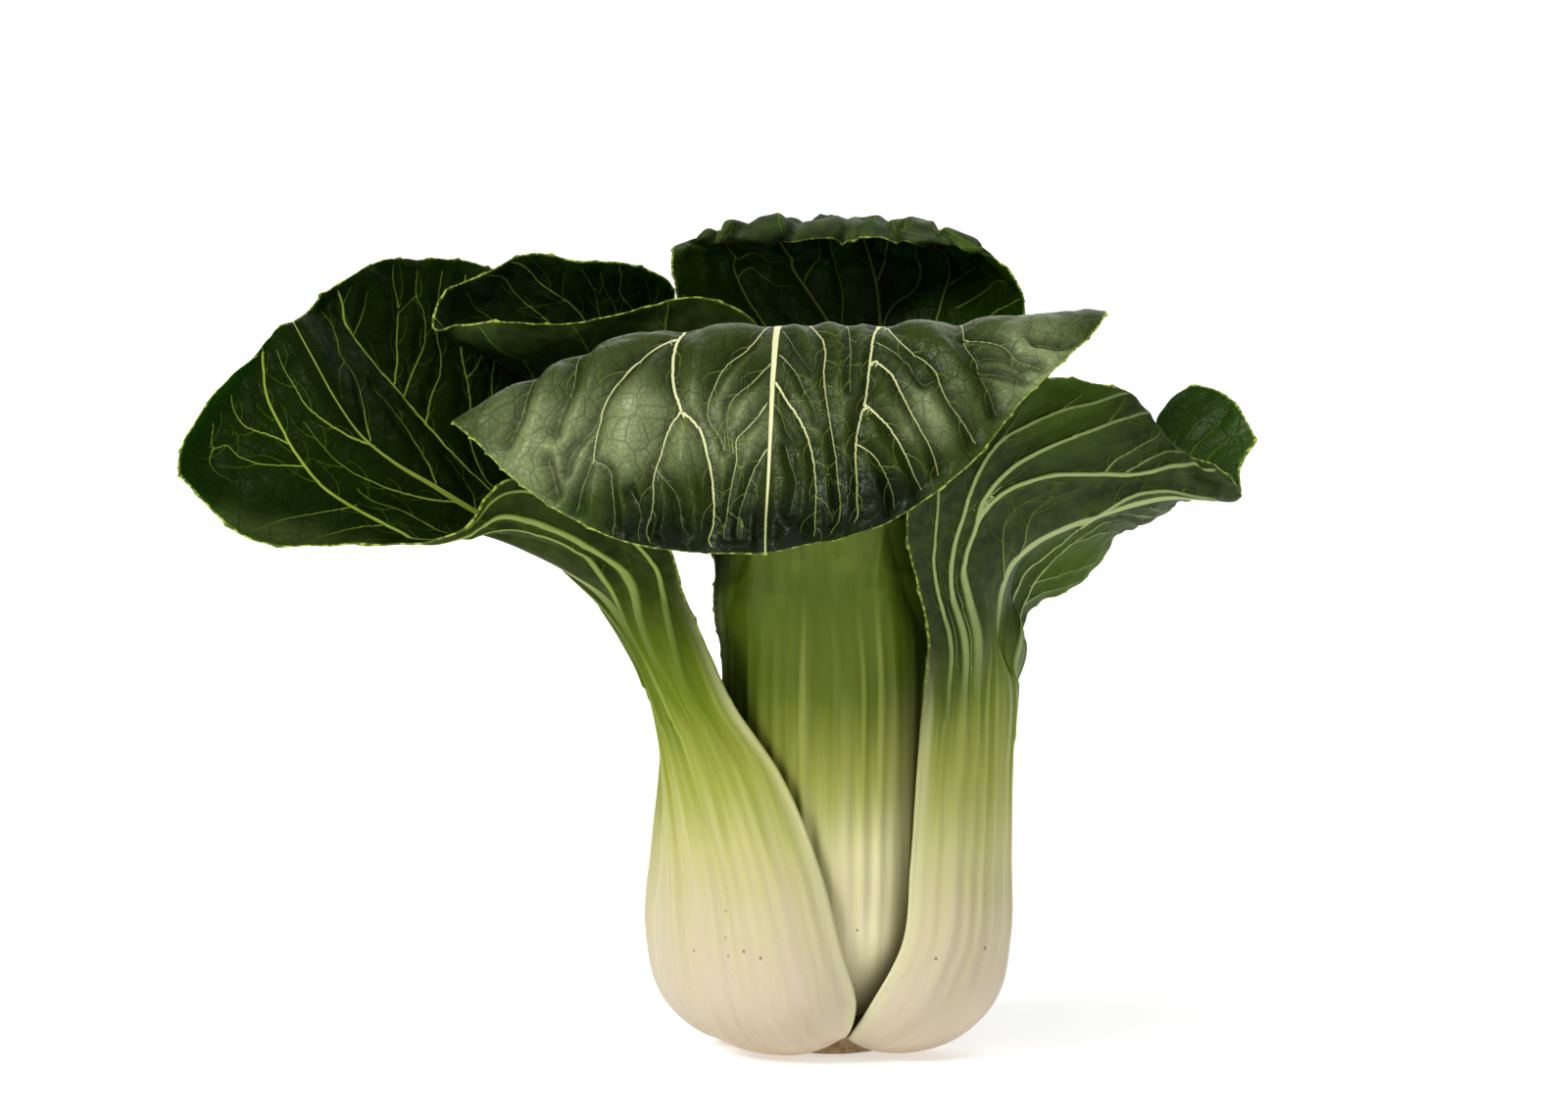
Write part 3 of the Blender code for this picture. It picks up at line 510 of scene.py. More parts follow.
def side_veins(leaf, count, seed):
    """Side veins on both halves of a blade, which leave the midrib at a slant, bend towards the
    tip and fork on their way to the edge."""
    dice = np.random.default_rng(seed)
    veins = []
    length = leaf.top - leaf.stalk_end
    for sign in (-1, 1):
        for k in range(count):
            share = (k + 0.25 * dice.random() + (0.5 if sign > 0 else 0.0)) / count
            y0 = leaf.stalk_end + LOWEST_VEIN + (length - LOWEST_VEIN) * VEIN_SPAN * share ** 1.1
            half = float(leaf.half(np.array(y0), np.array(sign)))
            v0 = 0.6 * (1 - share) ** 3
            reach = min((leaf.top - y0) * 0.62, 0.75 * half + 8)
            bend = 0.8 + 0.25 * dice.random()
            t = np.linspace(0, 1, 6)
            y = y0 + reach * t ** bend + dice.normal(0, 0.4, 6) * (t > 0)
            v = sign * (v0 + (0.96 - v0) * t ** 1.2 + dice.normal(0, 0.01, 6) * (t > 0))
            width = 0.8 - 0.45 * share
            veins.append(Vein(width, 0.2, np.stack([y, v], 1)))
            for turn in (-1, 1):
                at = dice.uniform(0.35, 0.7)
                fork = np.linspace(0, 1, 4)
                gap = turn * 0.5 * length / count * (1 - at)
                fork_y = np.interp(at + 0.3 * fork, t, y) + gap * fork
                fork_v = np.interp(at + 0.3 * fork, t, np.abs(v))
                veins.append(Vein(width * 0.5, 0.15, np.stack([fork_y, sign * fork_v], 1)))
    for vein in veins:
        vein.places[:, 0] = np.clip(vein.places[:, 0], 1, leaf.top - 0.5)
        vein.places[:, 1] = np.clip(vein.places[:, 1], -0.98, 0.98)
    return veins


def twiglets(leaf, veins, low, seed):
    """Short fine veins that leave the others by turns to either side, above the height low."""
    dice = np.random.default_rng(seed)
    grown = []
    t = np.linspace(0, 1, 4)
    for vein in veins:
        if vein.start < TWIG_FROM:
            continue
        line = smooth_line(vein.places, ROUGH_COUNT)
        x = line[:, 1] * leaf.half(line[:, 0], line[:, 1])
        along = np.concatenate([[0], np.cumsum(np.hypot(np.diff(line[:, 0]), np.diff(x)))])
        turn = 1
        place = dice.uniform(1, 4)
        while place < along[-1] - 1:
            y0, y1 = np.interp((place, place + 1), along, line[:, 0])
            x0, x1 = np.interp((place, place + 1), along, x)
            way = math.atan2(x1 - x0, y1 - y0) + turn * (dice.uniform(*TWIGLET_SLANT) - 0.5 * t)
            length = dice.uniform(*TWIGLET_LENGTH)
            y = y0 + length * t * np.cos(way)
            v = (x0 + length * t * np.sin(way)) / leaf.half(y, np.full(4, np.sign(x0 + 1e-9)))
            if y0 > low and y.max() < leaf.top - 1 and np.abs(v).max() < 0.97:
                grown.append(Vein(*TWIGLET_WIDTH, np.stack([y, v], 1)))
            turn = -turn
            place += dice.uniform(*TWIGLET_GAP)
    return grown


class VeinField:
    """For each place of a grid, as seen from the nearest vein: the distance to it, the same with a
    sign for its side, and the vein's half width there."""

    def __init__(self, leaf, veins, grid, scale=1.0):
        spots, tangents, widths = (np.concatenate(part) for part in zip(
            *(self.sampled(leaf, vein) for vein in veins)))
        tree = kdtree.KDTree(len(spots))
        for index, spot in enumerate(spots):
            tree.insert(spot, index)
        tree.balance()
        places = grid.sheet.reshape(-1, 3)
        nearest = np.array([tree.find(point)[1] for point in places])
        away = places - spots[nearest]
        across = np.cross(grid.out.reshape(-1, 3), tangents[nearest])
        distance = np.linalg.norm(away, axis=1)
        sign = np.where((away * across).sum(1) < 0, -1, 1)
        self.side = (sign * distance).reshape(grid.y.shape)
        self.gap = distance.reshape(grid.y.shape)
        self.width = widths[nearest].reshape(grid.y.shape) * scale

    def sampled(self, leaf, vein):
        """Close points along a vein, with the vein's direction and half width at each."""
        rough = leaf.sheet(*smooth_line(vein.places, ROUGH_COUNT).T)
        length = np.linalg.norm(np.diff(rough, axis=0), axis=1).sum()
        count = max(4, int(length / VEIN_STEP))
        line = smooth_line(vein.places, count)
        spots = leaf.sheet(line[:, 0], line[:, 1])
        taper = np.linspace(1, 0, count) ** 1.4
        return (spots, unit(np.gradient(spots, axis=0) + 1e-9),
                VEIN_WIDTH * (vein.end + (vein.start - vein.end) * taper))

    def raised(self):
        """How high a vein stands at each place, as a share of VEIN_RIB."""
        return (np.clip(self.width / 0.5, 0, 1.3)
                * np.exp(-(self.gap / (1.5 * self.width + 0.25)) ** 2))

    def values(self):
        """What the vein's colour needs, one row for each place."""
        return flat(self.side, self.gap, self.width)


# Growing a leaf.

THIN = 0.62           # thickness of the visible blade between its ribs
EDGE_THIN = 0.36      # and at its edge
STALK_STEP = 1.5      # longest step between rows on a stalk
FINE_BELOW = 15       # how far below the blade the finer rows begin
BLADE_BELOW = 10      # how far below the blade its relief begins
BLADE_RISE = 30       # and the height over which it grows
SOFT = 15             # height over which a stretched or bent margin begins and ends
NO_TOP = 999          # stands for a window with no upper end
CRINKLE = 0.2         # height of the fine ripples at the edge
VEIN_RIB = 0.55       # how far a thick vein stands out on the outer face
RIB_BELOW = 25        # how far below the blade the veins begin to stand out
RIDGE = 0.3           # height of the ridges along a stalk
RIDGE_WAVES = (6, 9, 13, 14, 17)
TOOTH = 0.55          # length of the teeth on the margin
TOOTH_STEP = 1.1      # height between teeth, divided by a whole turn
RIM_BULGE = 0.35      # how far the rounded rim stands out, as a share of the thickness
GREEN_BELOW = 16      # how far below its fade a leaf begins to turn green
GREEN_SIDES = 14      # how much lower that is at its edges
GREEN_RISE = 34       # height over which it turns green


def ripples(points, seed, longest, shortest, count=14):
    """A smooth random height at each point: a sum of plane waves."""
    dice = np.random.default_rng(seed)
    total = np.zeros(points.shape[:-1])
    for _ in range(count):
        way = unit(dice.normal(size=3))
        length = math.exp(dice.uniform(math.log(shortest), math.log(longest)))
        total += np.sin(points @ way * 2 * math.pi / length + dice.uniform(0, 2 * math.pi))
    return total / math.sqrt(count / 2)


def bubbles(x, y, size, seed):
    """Rounded bubbles with narrow valleys between them, from 0 in a valley to 1."""
    shift = np.random.default_rng(seed).uniform(0.15, 0.85, (64, 64, 2))
    column = np.floor(x / size).astype(int)
    line = np.floor(y / size).astype(int)
    nearest = np.full(x.shape, 9.0)
    second = np.full(x.shape, 9.0)
    for a in (-1, 0, 1):
        for b in (-1, 0, 1):
            spot = shift[(column + a) % 64, (line + b) % 64]
            gap = np.hypot(column + a + spot[..., 0] - x / size, line + b + spot[..., 1] - y / size)
            second = np.where(gap < nearest, nearest, np.minimum(second, gap))
            nearest = np.minimum(nearest, gap)
    return 1 - (1 - np.clip((second - nearest) / 0.55, 0, 1)) ** 2


def window(value, start, stop, soft):
    """1 between start and stop, falling softly to 0 outside."""
    rise = np.clip((value - start) / soft + 1, 0, 1)
    fall = np.clip((stop - value) / soft + 1, 0, 1)
    return (rise * fall) ** 2 * (3 - 2 * rise * fall)


def border(rows, columns):
    """Grid numbers once round the edge of a grid."""
    grid = np.arange(rows * columns).reshape(rows, columns)
    return np.concatenate([grid[0, :-1], grid[:-1, -1], grid[-1, :0:-1], grid[:0:-1, 0]])


def leaf_faces(rows, columns):
    """Four-sided faces of the inner sheet, the outer sheet and the rounded rim between them."""
    grid = np.arange(rows * columns).reshape(rows, columns)
    corner = [grid[:-1, :-1], grid[:-1, 1:], grid[1:, 1:], grid[1:, :-1]]
    inner = np.stack([c.ravel() for c in corner], 1)
    outer = inner[:, ::-1] + rows * columns
    rim_in = border(rows, columns)
    rim = 2 * rows * columns + np.arange(len(rim_in))
    first = np.stack([np.roll(rim_in, -1), rim_in, rim, np.roll(rim, -1)], 1)
    rim_out = rim_in + rows * columns
    second = np.stack([np.roll(rim, -1), rim, rim_out, np.roll(rim_out, -1)], 1)
    return np.concatenate([inner, outer, first, second])


class Grid:
    """Rows and columns of places on a leaf, with what the relief needs to know at each."""

    def __init__(self, leaf, columns, step, stretch):
        start = leaf.stalk_end - FINE_BELOW
        y = np.concatenate([np.linspace(0, start, int(start / STALK_STEP))[:-1],
                            np.linspace(start, leaf.top, int((leaf.top - start) / step))])
        self.y, self.v = np.meshgrid(y, np.linspace(-1, 1, columns), indexing="ij")
        self.sheet = leaf.sheet(self.y, self.v)
        self.out = leaf.normal(self.y, self.v)
        self.half = leaf.half(self.y, self.v)
        self.bell = leaf.bell(self.y, self.v)
        self.blade = np.clip((self.y - leaf.stalk_end + BLADE_BELOW) / BLADE_RISE, 0, 1)
        self.edge = np.minimum((1 - np.abs(self.v)) * self.half, leaf.top - self.y)
        if stretch is not None:
            self.stretch(*stretch)

    def stretch(self, low, high, amount):
        """Pulls the left margin outward between two heights."""
        sideways = unit(self.sheet[:, -1] - self.sheet[:, -4])[:, None]
        pull = amount * window(self.y, low, high, SOFT) * np.clip(self.v, 0, 1) ** 5
        self.sheet = self.sheet + sideways * pull[..., None]

    def quilted(self, mains, twigs, spread, height, begin):
        """Swellings between the veins, at their full height from begin upward."""
        gap = np.minimum(np.minimum(mains.gap, twigs.gap + 0.4), np.abs(self.v) * self.half + 0.3)
        between = 1 - np.exp(-(gap / spread) ** 2)
        return (height * (0.3 + 0.7 * window(self.y, begin, NO_TOP, 20)) * (between - 0.6)
                * self.blade * (1 - 0.5 * self.bell ** 2) * np.clip(self.edge / 4, 0, 1))

    def blistered(self, seed, size, height, begin):
        """Blisters on the blade between its midrib and its edge, from begin upward."""
        swelling = bubbles(self.v * self.half, self.y, size, seed) - 0.5
        sideways = np.clip((1 - np.abs(self.v)) * 4, 0, 1)
        return (height * self.blade * (1 - self.bell) * swelling
                * window(self.y, begin, NO_TOP, 10) * sideways)

    def crinkled(self, seed):
        """Fine ripples that grow towards the edge."""
        return CRINKLE * self.blade * np.abs(self.v) ** 6 * ripples(self.sheet, seed, 9, 4)

    def bent(self, low, high, sign, width, amount):
        """A margin on the side of sign that is bent inward between two heights."""
        turned = np.clip(1 - self.edge / width, 0, 1) ** 2 * window(self.y, low, high, SOFT)
        return amount * turned * np.clip(sign * self.v * 4, 0, 1)

    def ridged(self, leaf):
        """Soft uneven ridges along the stalk, which end above its foot and in the blade."""
        dice = np.random.default_rng(leaf.seed)
        ridges = sum(np.cos(k * math.pi * self.v + dice.uniform(0, 6)
                            + 0.35 * np.sin(self.y / 30 + k)) for k in RIDGE_WAVES) / 2
        rise = np.clip((self.y - 15) / 30, 0, 1)
        return ridges * rise * np.clip((leaf.stalk_end + 25 - self.y) / 30, 0, 1)

    def thickness(self, leaf, mains, twigs, ridges):
        """Thickness of the blade, and how far midrib, ridges and veins stand out behind it."""
        thin = EDGE_THIN + (THIN - EDGE_THIN) * np.clip(self.edge / 3, 0, 1)
        thin = thin + (LAMINA - thin) * (1 - self.blade)
        ribs = (curve(leaf.knots, leaf.middle_thickness, self.y) - LAMINA) * self.bell
        ribs += RIDGE * ridges * self.bell
        grown = np.clip((self.y - leaf.stalk_end + RIB_BELOW) / 20, 0, 1)
        return thin, ribs + VEIN_RIB * grown * np.maximum(mains.raised(), twigs.raised())

    def teeth(self):
        """A push outward for each row at the left and at the right edge."""
        rows = self.y[:, 0]
        teeth = np.clip(np.sin(rows / TOOTH_STEP + 1.5 * np.sin(rows / 7.3)), 0, 1) ** 8
        teeth = TOOTH * teeth * self.blade[:, 0]
        for column, inside in ((0, 2), (-1, -3)):
            yield column, unit(self.sheet[:, column] - self.sheet[:, inside]) * teeth[:, None]

    def rim(self, loop, inner, outer):
        """Points half way between the faces round the edge, a little further out."""
        sheet = self.sheet.reshape(-1, 3)
        ahead = sheet[np.roll(loop, -1)] - sheet[np.roll(loop, 1)]
        beyond = unit(np.cross(ahead, self.out.reshape(-1, 3)[loop]))
        gap = np.linalg.norm(inner[loop] - outer[loop], axis=1)[:, None]
        return (inner[loop] + outer[loop]) / 2 + beyond * RIM_BULGE * gap

    def form(self, leaf, fade, wing):
        """For the inner and the outer face: half width of the pale midrib, 1 on the inner face or
        0 on the outer one, and how much a place has the blade's colour."""
        share = np.clip((self.y - fade) / (leaf.top - fade), 0, 1)
        away = np.abs(self.v)
        leafy = np.clip((self.y - fade + GREEN_BELOW + GREEN_SIDES * away ** 1.5
                         + wing * away ** 8) / GREEN_RISE, 0, 1)
        return (flat(0.2 + 1.1 * (1 - share) ** 1.6, np.ones_like(share), leafy),
                flat(0.5 + 0.9 * (1 - share), np.zeros_like(share), leafy))

    def shade(self, spots):
        """Spots of painted light and painted shade, each round its place (x, z) as seen from the front.
        """
        total = np.zeros_like(self.y)
        for x, z, reach, amount in spots:
            away = (self.sheet[..., 0] - x) ** 2 + (self.sheet[..., 2] - z) ** 2
            total += amount * np.exp(-away / reach ** 2)
        return total


def make_mesh(name, points, faces, values):
    """A mesh object from corner points in millimetres, with a vector value at every corner."""
    mesh = bpy.data.meshes.new(name)
    mesh.vertices.add(len(points))
    mesh.vertices.foreach_set("co", (points * METRES).ravel())
    mesh.loops.add(faces.size)
    mesh.loops.foreach_set("vertex_index", faces.ravel())
    mesh.polygons.add(len(faces))
    mesh.polygons.foreach_set("loop_start", np.arange(0, faces.size, faces.shape[1]))
    mesh.update(calc_edges=True)
    mesh.validate()
    mesh.shade_smooth()
    for key, vectors in values.items():
        layer = mesh.attributes.new(key, "FLOAT_VECTOR", "POINT")
        layer.data.foreach_set("vector", vectors.astype(np.float32).ravel())
    piece = bpy.data.objects.new(name, mesh)
    bpy.context.scene.collection.objects.link(piece)
    return piece


def stand_in(piece, node):
    """Puts a piece in the place of a solid's node."""
    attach(piece, "root")
    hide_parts(node)


def grow(name, veins, hairs, columns, step, fade, wing=0, quilt=(3.2, 0.8, 0),
         bubble=(7, 0.25, 0), bend=None, stretch=None, wave=0.5, vein_scale=1.0, tone=()):
    """A leaf on its solid's sheet, with its relief and the values that its colours use."""
    leaf = LEAVES[name]
    grid = Grid(leaf, columns, step, stretch)
    mains = VeinField(leaf, [vein for vein in veins if vein.start >= MAIN_VEIN], grid, vein_scale)
    twigs = VeinField(leaf, [vein for vein in veins if vein.start < MAIN_VEIN], grid, vein_scale)
    fine = VeinField(leaf, hairs, grid)

    lift = wave * leaf.edge_wave(grid.y, grid.v)
    lift += grid.quilted(mains, twigs, *quilt)
    lift += grid.blistered(leaf.seed + 50, *bubble)
    lift += grid.crinkled(leaf.seed + 90)
    if bend is not None:
        lift += grid.bent(*bend)
    middle = grid.sheet + grid.out * lift[..., None]
    ridges = grid.ridged(leaf)
    thin, ribs = grid.thickness(leaf, mains, twigs, ridges)
    inner = middle + grid.out * (thin / 2)[..., None]
    outer = middle - grid.out * (thin / 2 + ribs)[..., None]
    for column, push in grid.teeth():
        inner[:, column] += push
        outer[:, column] += push
    inner = inner.reshape(-1, 3)
    outer = outer.reshape(-1, 3)
    loop = border(*grid.y.shape)
    points = np.concatenate([inner, outer, grid.rim(loop, inner, outer)])

    # The tone values hold the painted light and shade of the spots, then the stalk's ridges.
    alike = {"place": flat(grid.v * grid.half, grid.y, grid.edge), "vein": mains.values(),
             "twig": twigs.values(), "hair": fine.values(),
             "tone": flat(grid.shade(tone), ridges, np.zeros_like(ridges))}
    values = {key: np.concatenate([part, part, part[loop]]) for key, part in alike.items()}
    inside, outside = grid.form(leaf, fade, wing)
    values["form"] = np.concatenate([inside, outside, (inside[loop] + outside[loop]) / 2])
    piece = make_mesh(name + "_grown", points, leaf_faces(*grid.y.shape), values)
    stand_in(piece, name)
    return piece


# Materials.

# Colours up the stalk: place from the floor (0) to 110 mm (1), then red, green and blue.
STALK_TOP = 110
STALK_COLOURS = [(0.0, (0.54, 0.46, 0.35)), (0.10, (0.58, 0.51, 0.40)), (0.27, (0.57, 0.52, 0.35)),
                 (0.40, (0.52, 0.50, 0.25)), (0.52, (0.36, 0.38, 0.105)), (0.68, (0.18, 0.23, 0.030)),
                 (0.85, (0.14, 0.19, 0.022)), (1.0, (0.22, 0.28, 0.055))]
STALK_RIDGE = (0.42, 0.45, 0.15)
# Paler stalk edge: partly the stalk's own paler margin, partly painted light that lifts the shade at
# the edge.
STALK_EDGE_PALE_AND_LIT = (0.64, 0.62, 0.40)
# Painted light that lifts shaded parts of a stalk in the lighter spots.
STALK_PAINTED_LIGHT = (0.78, 0.74, 0.50)
SCUFF = (0.30, 0.22, 0.09)
SPECK = (0.16, 0.11, 0.05)
CUT = (0.52, 0.38, 0.22)
MARGIN = (0.38, 0.44, 0.10)
BUTT_LIGHT = (0.62, 0.50, 0.33)
BUTT_BROWN = (0.42, 0.28, 0.14)
BUTT_PALE = (0.72, 0.62, 0.42)
OUTER_ROUGHNESS = 0.55
STALK_ROUGHNESS = 0.38


def rgb(colour, share=1.0):
    """A colour with alpha, made darker by the share."""
    return tuple(share * part for part in colour) + (1.0,)


class Shader:
    """A material whose nodes are added one call at a time. Values are numbers or sockets."""

    def __init__(self, name):
        self.material = bpy.data.materials.new(name)
        self.material.use_nodes = True
        self.tree = self.material.node_tree
        self.surface = self.tree.nodes["Principled BSDF"]

    def add(self, kind, inputs=(), **settings):
        node = self.tree.nodes.new(kind)
        for key, value in settings.items():
            setattr(node, key, value)
        for key, value in dict(inputs).items():
            self.put(node.inputs[key], value)
        return node

    def put(self, socket, value):
        if isinstance(value, bpy.types.NodeSocket):
            self.tree.links.new(value, socket)
        else:
            socket.default_value = value

    def maths(self, operation, first, second=0.0, third=0.0):
        node = self.add("ShaderNodeMath", {0: first, 1: second, 2: third}, operation=operation)
        return node.outputs[0]

    def times(self, first, second):
        return self.maths("MULTIPLY", first, second)

    def most(self, first, second):
        return self.maths("MAXIMUM", first, second)

    def scaled(self, value, factor, plus):
        return self.maths("MULTIPLY_ADD", value, factor, plus)

    def step(self, value, low, high, first=0.0, second=1.0):
        """Goes smoothly from first to second while the value goes from low to high."""
        node = self.add("ShaderNodeMapRange", {
            "Value": value, "From Min": low, "From Max": high, "To Min": first,
            "To Max": second}, interpolation_type="SMOOTHSTEP")
        return node.outputs[0]

    def mix(self, share, first, second):
        node = self.add("ShaderNodeMix", data_type="RGBA")
        self.put(node.inputs[0], share)
        self.put(node.inputs[6], first)
        self.put(node.inputs[7], second)
        return node.outputs[2]

    def noise(self, vector, scale, detail=3.0, rough=0.55):
        node = self.add("ShaderNodeTexNoise", {
            "Vector": vector, "Scale": scale, "Detail": detail, "Roughness": rough})
        return node.outputs["Fac"]

    def cell_edges(self, vector, scale):
        """Distance to the nearest border between cells."""
        return self.add("ShaderNodeTexVoronoi", {"Vector": vector, "Scale": scale},
                        feature="DISTANCE_TO_EDGE").outputs["Distance"]

    def parts(self, name):
        attribute = self.add("ShaderNodeAttribute", attribute_name=name)
        return self.add("ShaderNodeSeparateXYZ", {0: attribute.outputs["Vector"]}).outputs

    def vector(self, x, y, z):
        return self.add("ShaderNodeCombineXYZ", {0: x, 1: y, 2: z}).outputs[0]

    def sum(self, first, second):
        return self.add("ShaderNodeVectorMath", {0: first, 1: second}, operation="ADD").outputs[0]

    def object_place(self):
        """The object's own coordinates in metres, and the same in millimetres."""
        metres = self.add("ShaderNodeTexCoord").outputs["Object"]
        node = self.add("ShaderNodeVectorMath", {0: metres, 3: 1 / METRES}, operation="SCALE")
        return metres, node.outputs[0]

    def bump(self, height, distance):
        node = self.add("ShaderNodeBump", {"Height": height, "Distance": distance, "Strength": 1.0})
        self.put(self.surface.inputs["Normal"], node.outputs[0])


class LeafSkin(Shader):
    """The skin of one leaf. The values on its mesh tell stalk, blade, veins and margin apart."""

    def __init__(self, name, seed, valley=0.0, **colours):
        super().__init__(name)
        self.seed = seed
        # valley is the share of painted shade laid beside the veins.
        self.valley = valley
        self.colours = colours
        self.place = self.parts("place")
        self.rib_half, self.face, self.leafiness = self.parts("form")
        # Painted light and shade of the spots, and the height of the stalk's ridges.
        self.tone, self.ridges, _ = self.parts("tone")
        self.veins = [self.parts(kind) for kind in ("vein", "twig", "hair")]
        metres, millimetres = self.object_place()
        self.spot = self.sum(millimetres, (31.0 * seed, 17.0 * seed, 5.0 * seed))
        self.height = self.add("ShaderNodeSeparateXYZ", {0: metres}).outputs[2]
        self.patch = self.noise(self.spot, 0.35, 4.0)
        self.grain = self.noise(self.spot, 3.0, 3.0)
        self.streak = self.noise(self.vector(self.times(self.place[0], 0.45),
                                             self.times(self.place[1], 0.02), float(seed)), 1.0)
        self.inner_share = self.scaled(self.face, 0.8, 0.2)

    def faces(self, outer, inner, share_out=1.0, share_in=1.0):
        """One colour on the outer face and another on the inner one."""
        return self.mix(self.face, rgb(self.colours[outer], share_out),
                        rgb(self.colours[inner], share_in))

    def line(self, vein):
        """How much a place belongs to a vein and to its core. Veins are wider on the outer face."""
        width = self.times(vein[2], self.step(self.face, 0.0, 1.0, 1.6, 1.0))
        across = self.maths("DIVIDE", self.maths("ABSOLUTE", vein[0]), width)
        close = self.step(self.maths("SUBTRACT", vein[1], width), 0.5, 0.3)
        thick = self.step(vein[2], 0.05, 0.45)
        line = self.times(self.step(across, 1.15, 0.55), close)
        core = self.times(self.step(across, 0.85, 0.3), close)
        return self.times(line, self.scaled(thick, 0.5, 0.5)), self.times(core, thick)

    def find_lines(self):
        """Works out the midrib, the veins with their cores, and the finest net of veins."""
        beside = self.maths("DIVIDE", self.maths("ABSOLUTE", self.place[0]), self.rib_half)
        uneven = self.scaled(self.patch, 0.4, -0.2)
        self.rib = self.step(self.maths("ADD", beside, uneven), 1.15, 0.8)
        (main, main_core), (twig, twig_core), (hair, _) = map(self.line, self.veins)
        self.lines = self.most(self.most(main, twig), hair)
        self.core = self.most(main_core, twig_core)
        shift = self.add("ShaderNodeTexNoise", {"Vector": self.spot, "Scale": 0.25, "Detail": 2.0})
        bent = self.sum(self.spot, shift.outputs["Color"])
        cells = self.cell_edges(bent, 0.22)
        self.net = self.step(cells, 0.05, 0.0)
        self.fine = self.step(self.cell_edges(bent, 0.8), 0.12, 0.0)
        self.pillow = self.step(cells, 0.0, 0.3)

    def blade_colour(self):
        colours = self.colours
        light = rgb(colours["inner_light"])
        broad = self.noise(self.spot, 0.05, 2.0)
        inner = self.mix(broad, rgb(colours["inner_dark"]), light)
        inner = self.mix(self.step(self.grain, 0.4, 0.75, 0.0, 0.35), inner, light)
        outer = self.mix(self.step(self.patch, 0.3, 0.7), rgb(colours["outer_dark"]),
                         rgb(colours["outer_light"]))
        blade = self.mix(self.face, outer, inner)
        # Painted light in the lighter spots: sheen on the inner face, and glow where light shines
        # through.
        painted_light_colour = self.faces("painted_lit_out", "painted_lit_in")
        blade = self.mix(self.step(self.tone, 0.0, 1.0), blade, painted_light_colour)
        # Painted shade in the darker spots.
        darker = self.faces("outer_dark", "inner_dark", 0.5, 0.3)
        blade = self.mix(self.step(self.tone, 0.0, -1.0), blade, darker)
        # Painted shade beside the veins on the inner face, where the valleys between the swellings lie.
        gap = self.maths("MINIMUM", self.veins[0][1], self.veins[1][1])
        valleys = self.step(gap, 2.4, 0.3, 0.0, self.valley)
        blade = self.mix(self.times(valleys, self.inner_share), blade, darker)
        netted = self.most(self.times(self.fine, 0.25), self.times(self.net, 0.35))
        return self.mix(self.times(netted, self.inner_share), blade, rgb(colours["net_dark"]))

    def stalk_colour(self):
        """Cream at the foot, then yellowish, then green where the blade begins, with paler ridges and
        edges, and painted light in the lighter spots.
        """
        ramp = self.add("ShaderNodeValToRGB")
        elements = ramp.color_ramp.elements
        while len(elements) < len(STALK_COLOURS):
            elements.new(0.5)
        for element, (place, colour) in zip(elements, STALK_COLOURS):
            element.position = place
            element.color = rgb(colour)
        up = self.times(self.height, 1 / METRES / STALK_TOP)
        self.put(ramp.inputs[0], self.maths("ADD", up, self.scaled(self.streak, 0.24, -0.12)))
        stalk = ramp.outputs[0]
        pale = self.times(self.step(self.ridges, 0.2, 1.4, 0.0, 0.45),
                          self.step(self.height, 0.035, 0.07))
        stalk = self.mix(pale, stalk, rgb(STALK_RIDGE))
        # Paler edges: partly the stalk's own paler margin, partly painted light against the shade
        # there.
        stalk = self.mix(self.step(self.place[2], 2.5, 0.5, 0.0, 0.5), stalk, rgb(STALK_EDGE_PALE_AND_LIT))
        # Painted light in the lighter spots, which lifts the shade on the stalk.
        return self.mix(self.step(self.tone, 0.0, 1.0), stalk, rgb(STALK_PAINTED_LIGHT))

    def worn(self, stalk):
        """Scuffs and specks near the foot, and a tan tint where it was cut."""
        low = self.step(self.height, 0.06, 0.012)
        scuff = self.step(self.noise(self.spot, 0.7, 5.0, 0.7), 0.64, 0.76)
        stalk = self.mix(self.times(self.times(scuff, low), 0.45), stalk, rgb(SCUFF))
        seeds = self.add("ShaderNodeTexVoronoi", {"Vector": self.spot, "Scale": 0.3})
        rare = self.add("ShaderNodeSeparateXYZ", {0: seeds.outputs["Color"]}).outputs[0]
        speck = self.times(self.step(seeds.outputs["Distance"], 0.13, 0.07),
                           self.step(rare, 0.84, 0.86))
        stalk = self.mix(self.times(self.times(speck, low), 0.8), stalk, rgb(SPECK))
        cut = self.step(self.scaled(self.patch, 0.004, self.height), 0.006, 0.002)
        return self.mix(self.times(cut, 0.8), stalk, rgb(CUT))

    def paint(self):
        """Joins stalk and blade, and lays the veins and the dotted pale margin over them."""
        stalk = self.worn(self.stalk_colour())
        fading = self.scaled(self.streak, 0.4, self.maths("SUBTRACT", self.leafiness, 0.2))
        self.leafy = self.step(fading, 0.05, 0.95)
        colour = self.mix(self.leafy, stalk, self.blade_colour())
        thin = rgb(self.colours["vein_thin"])
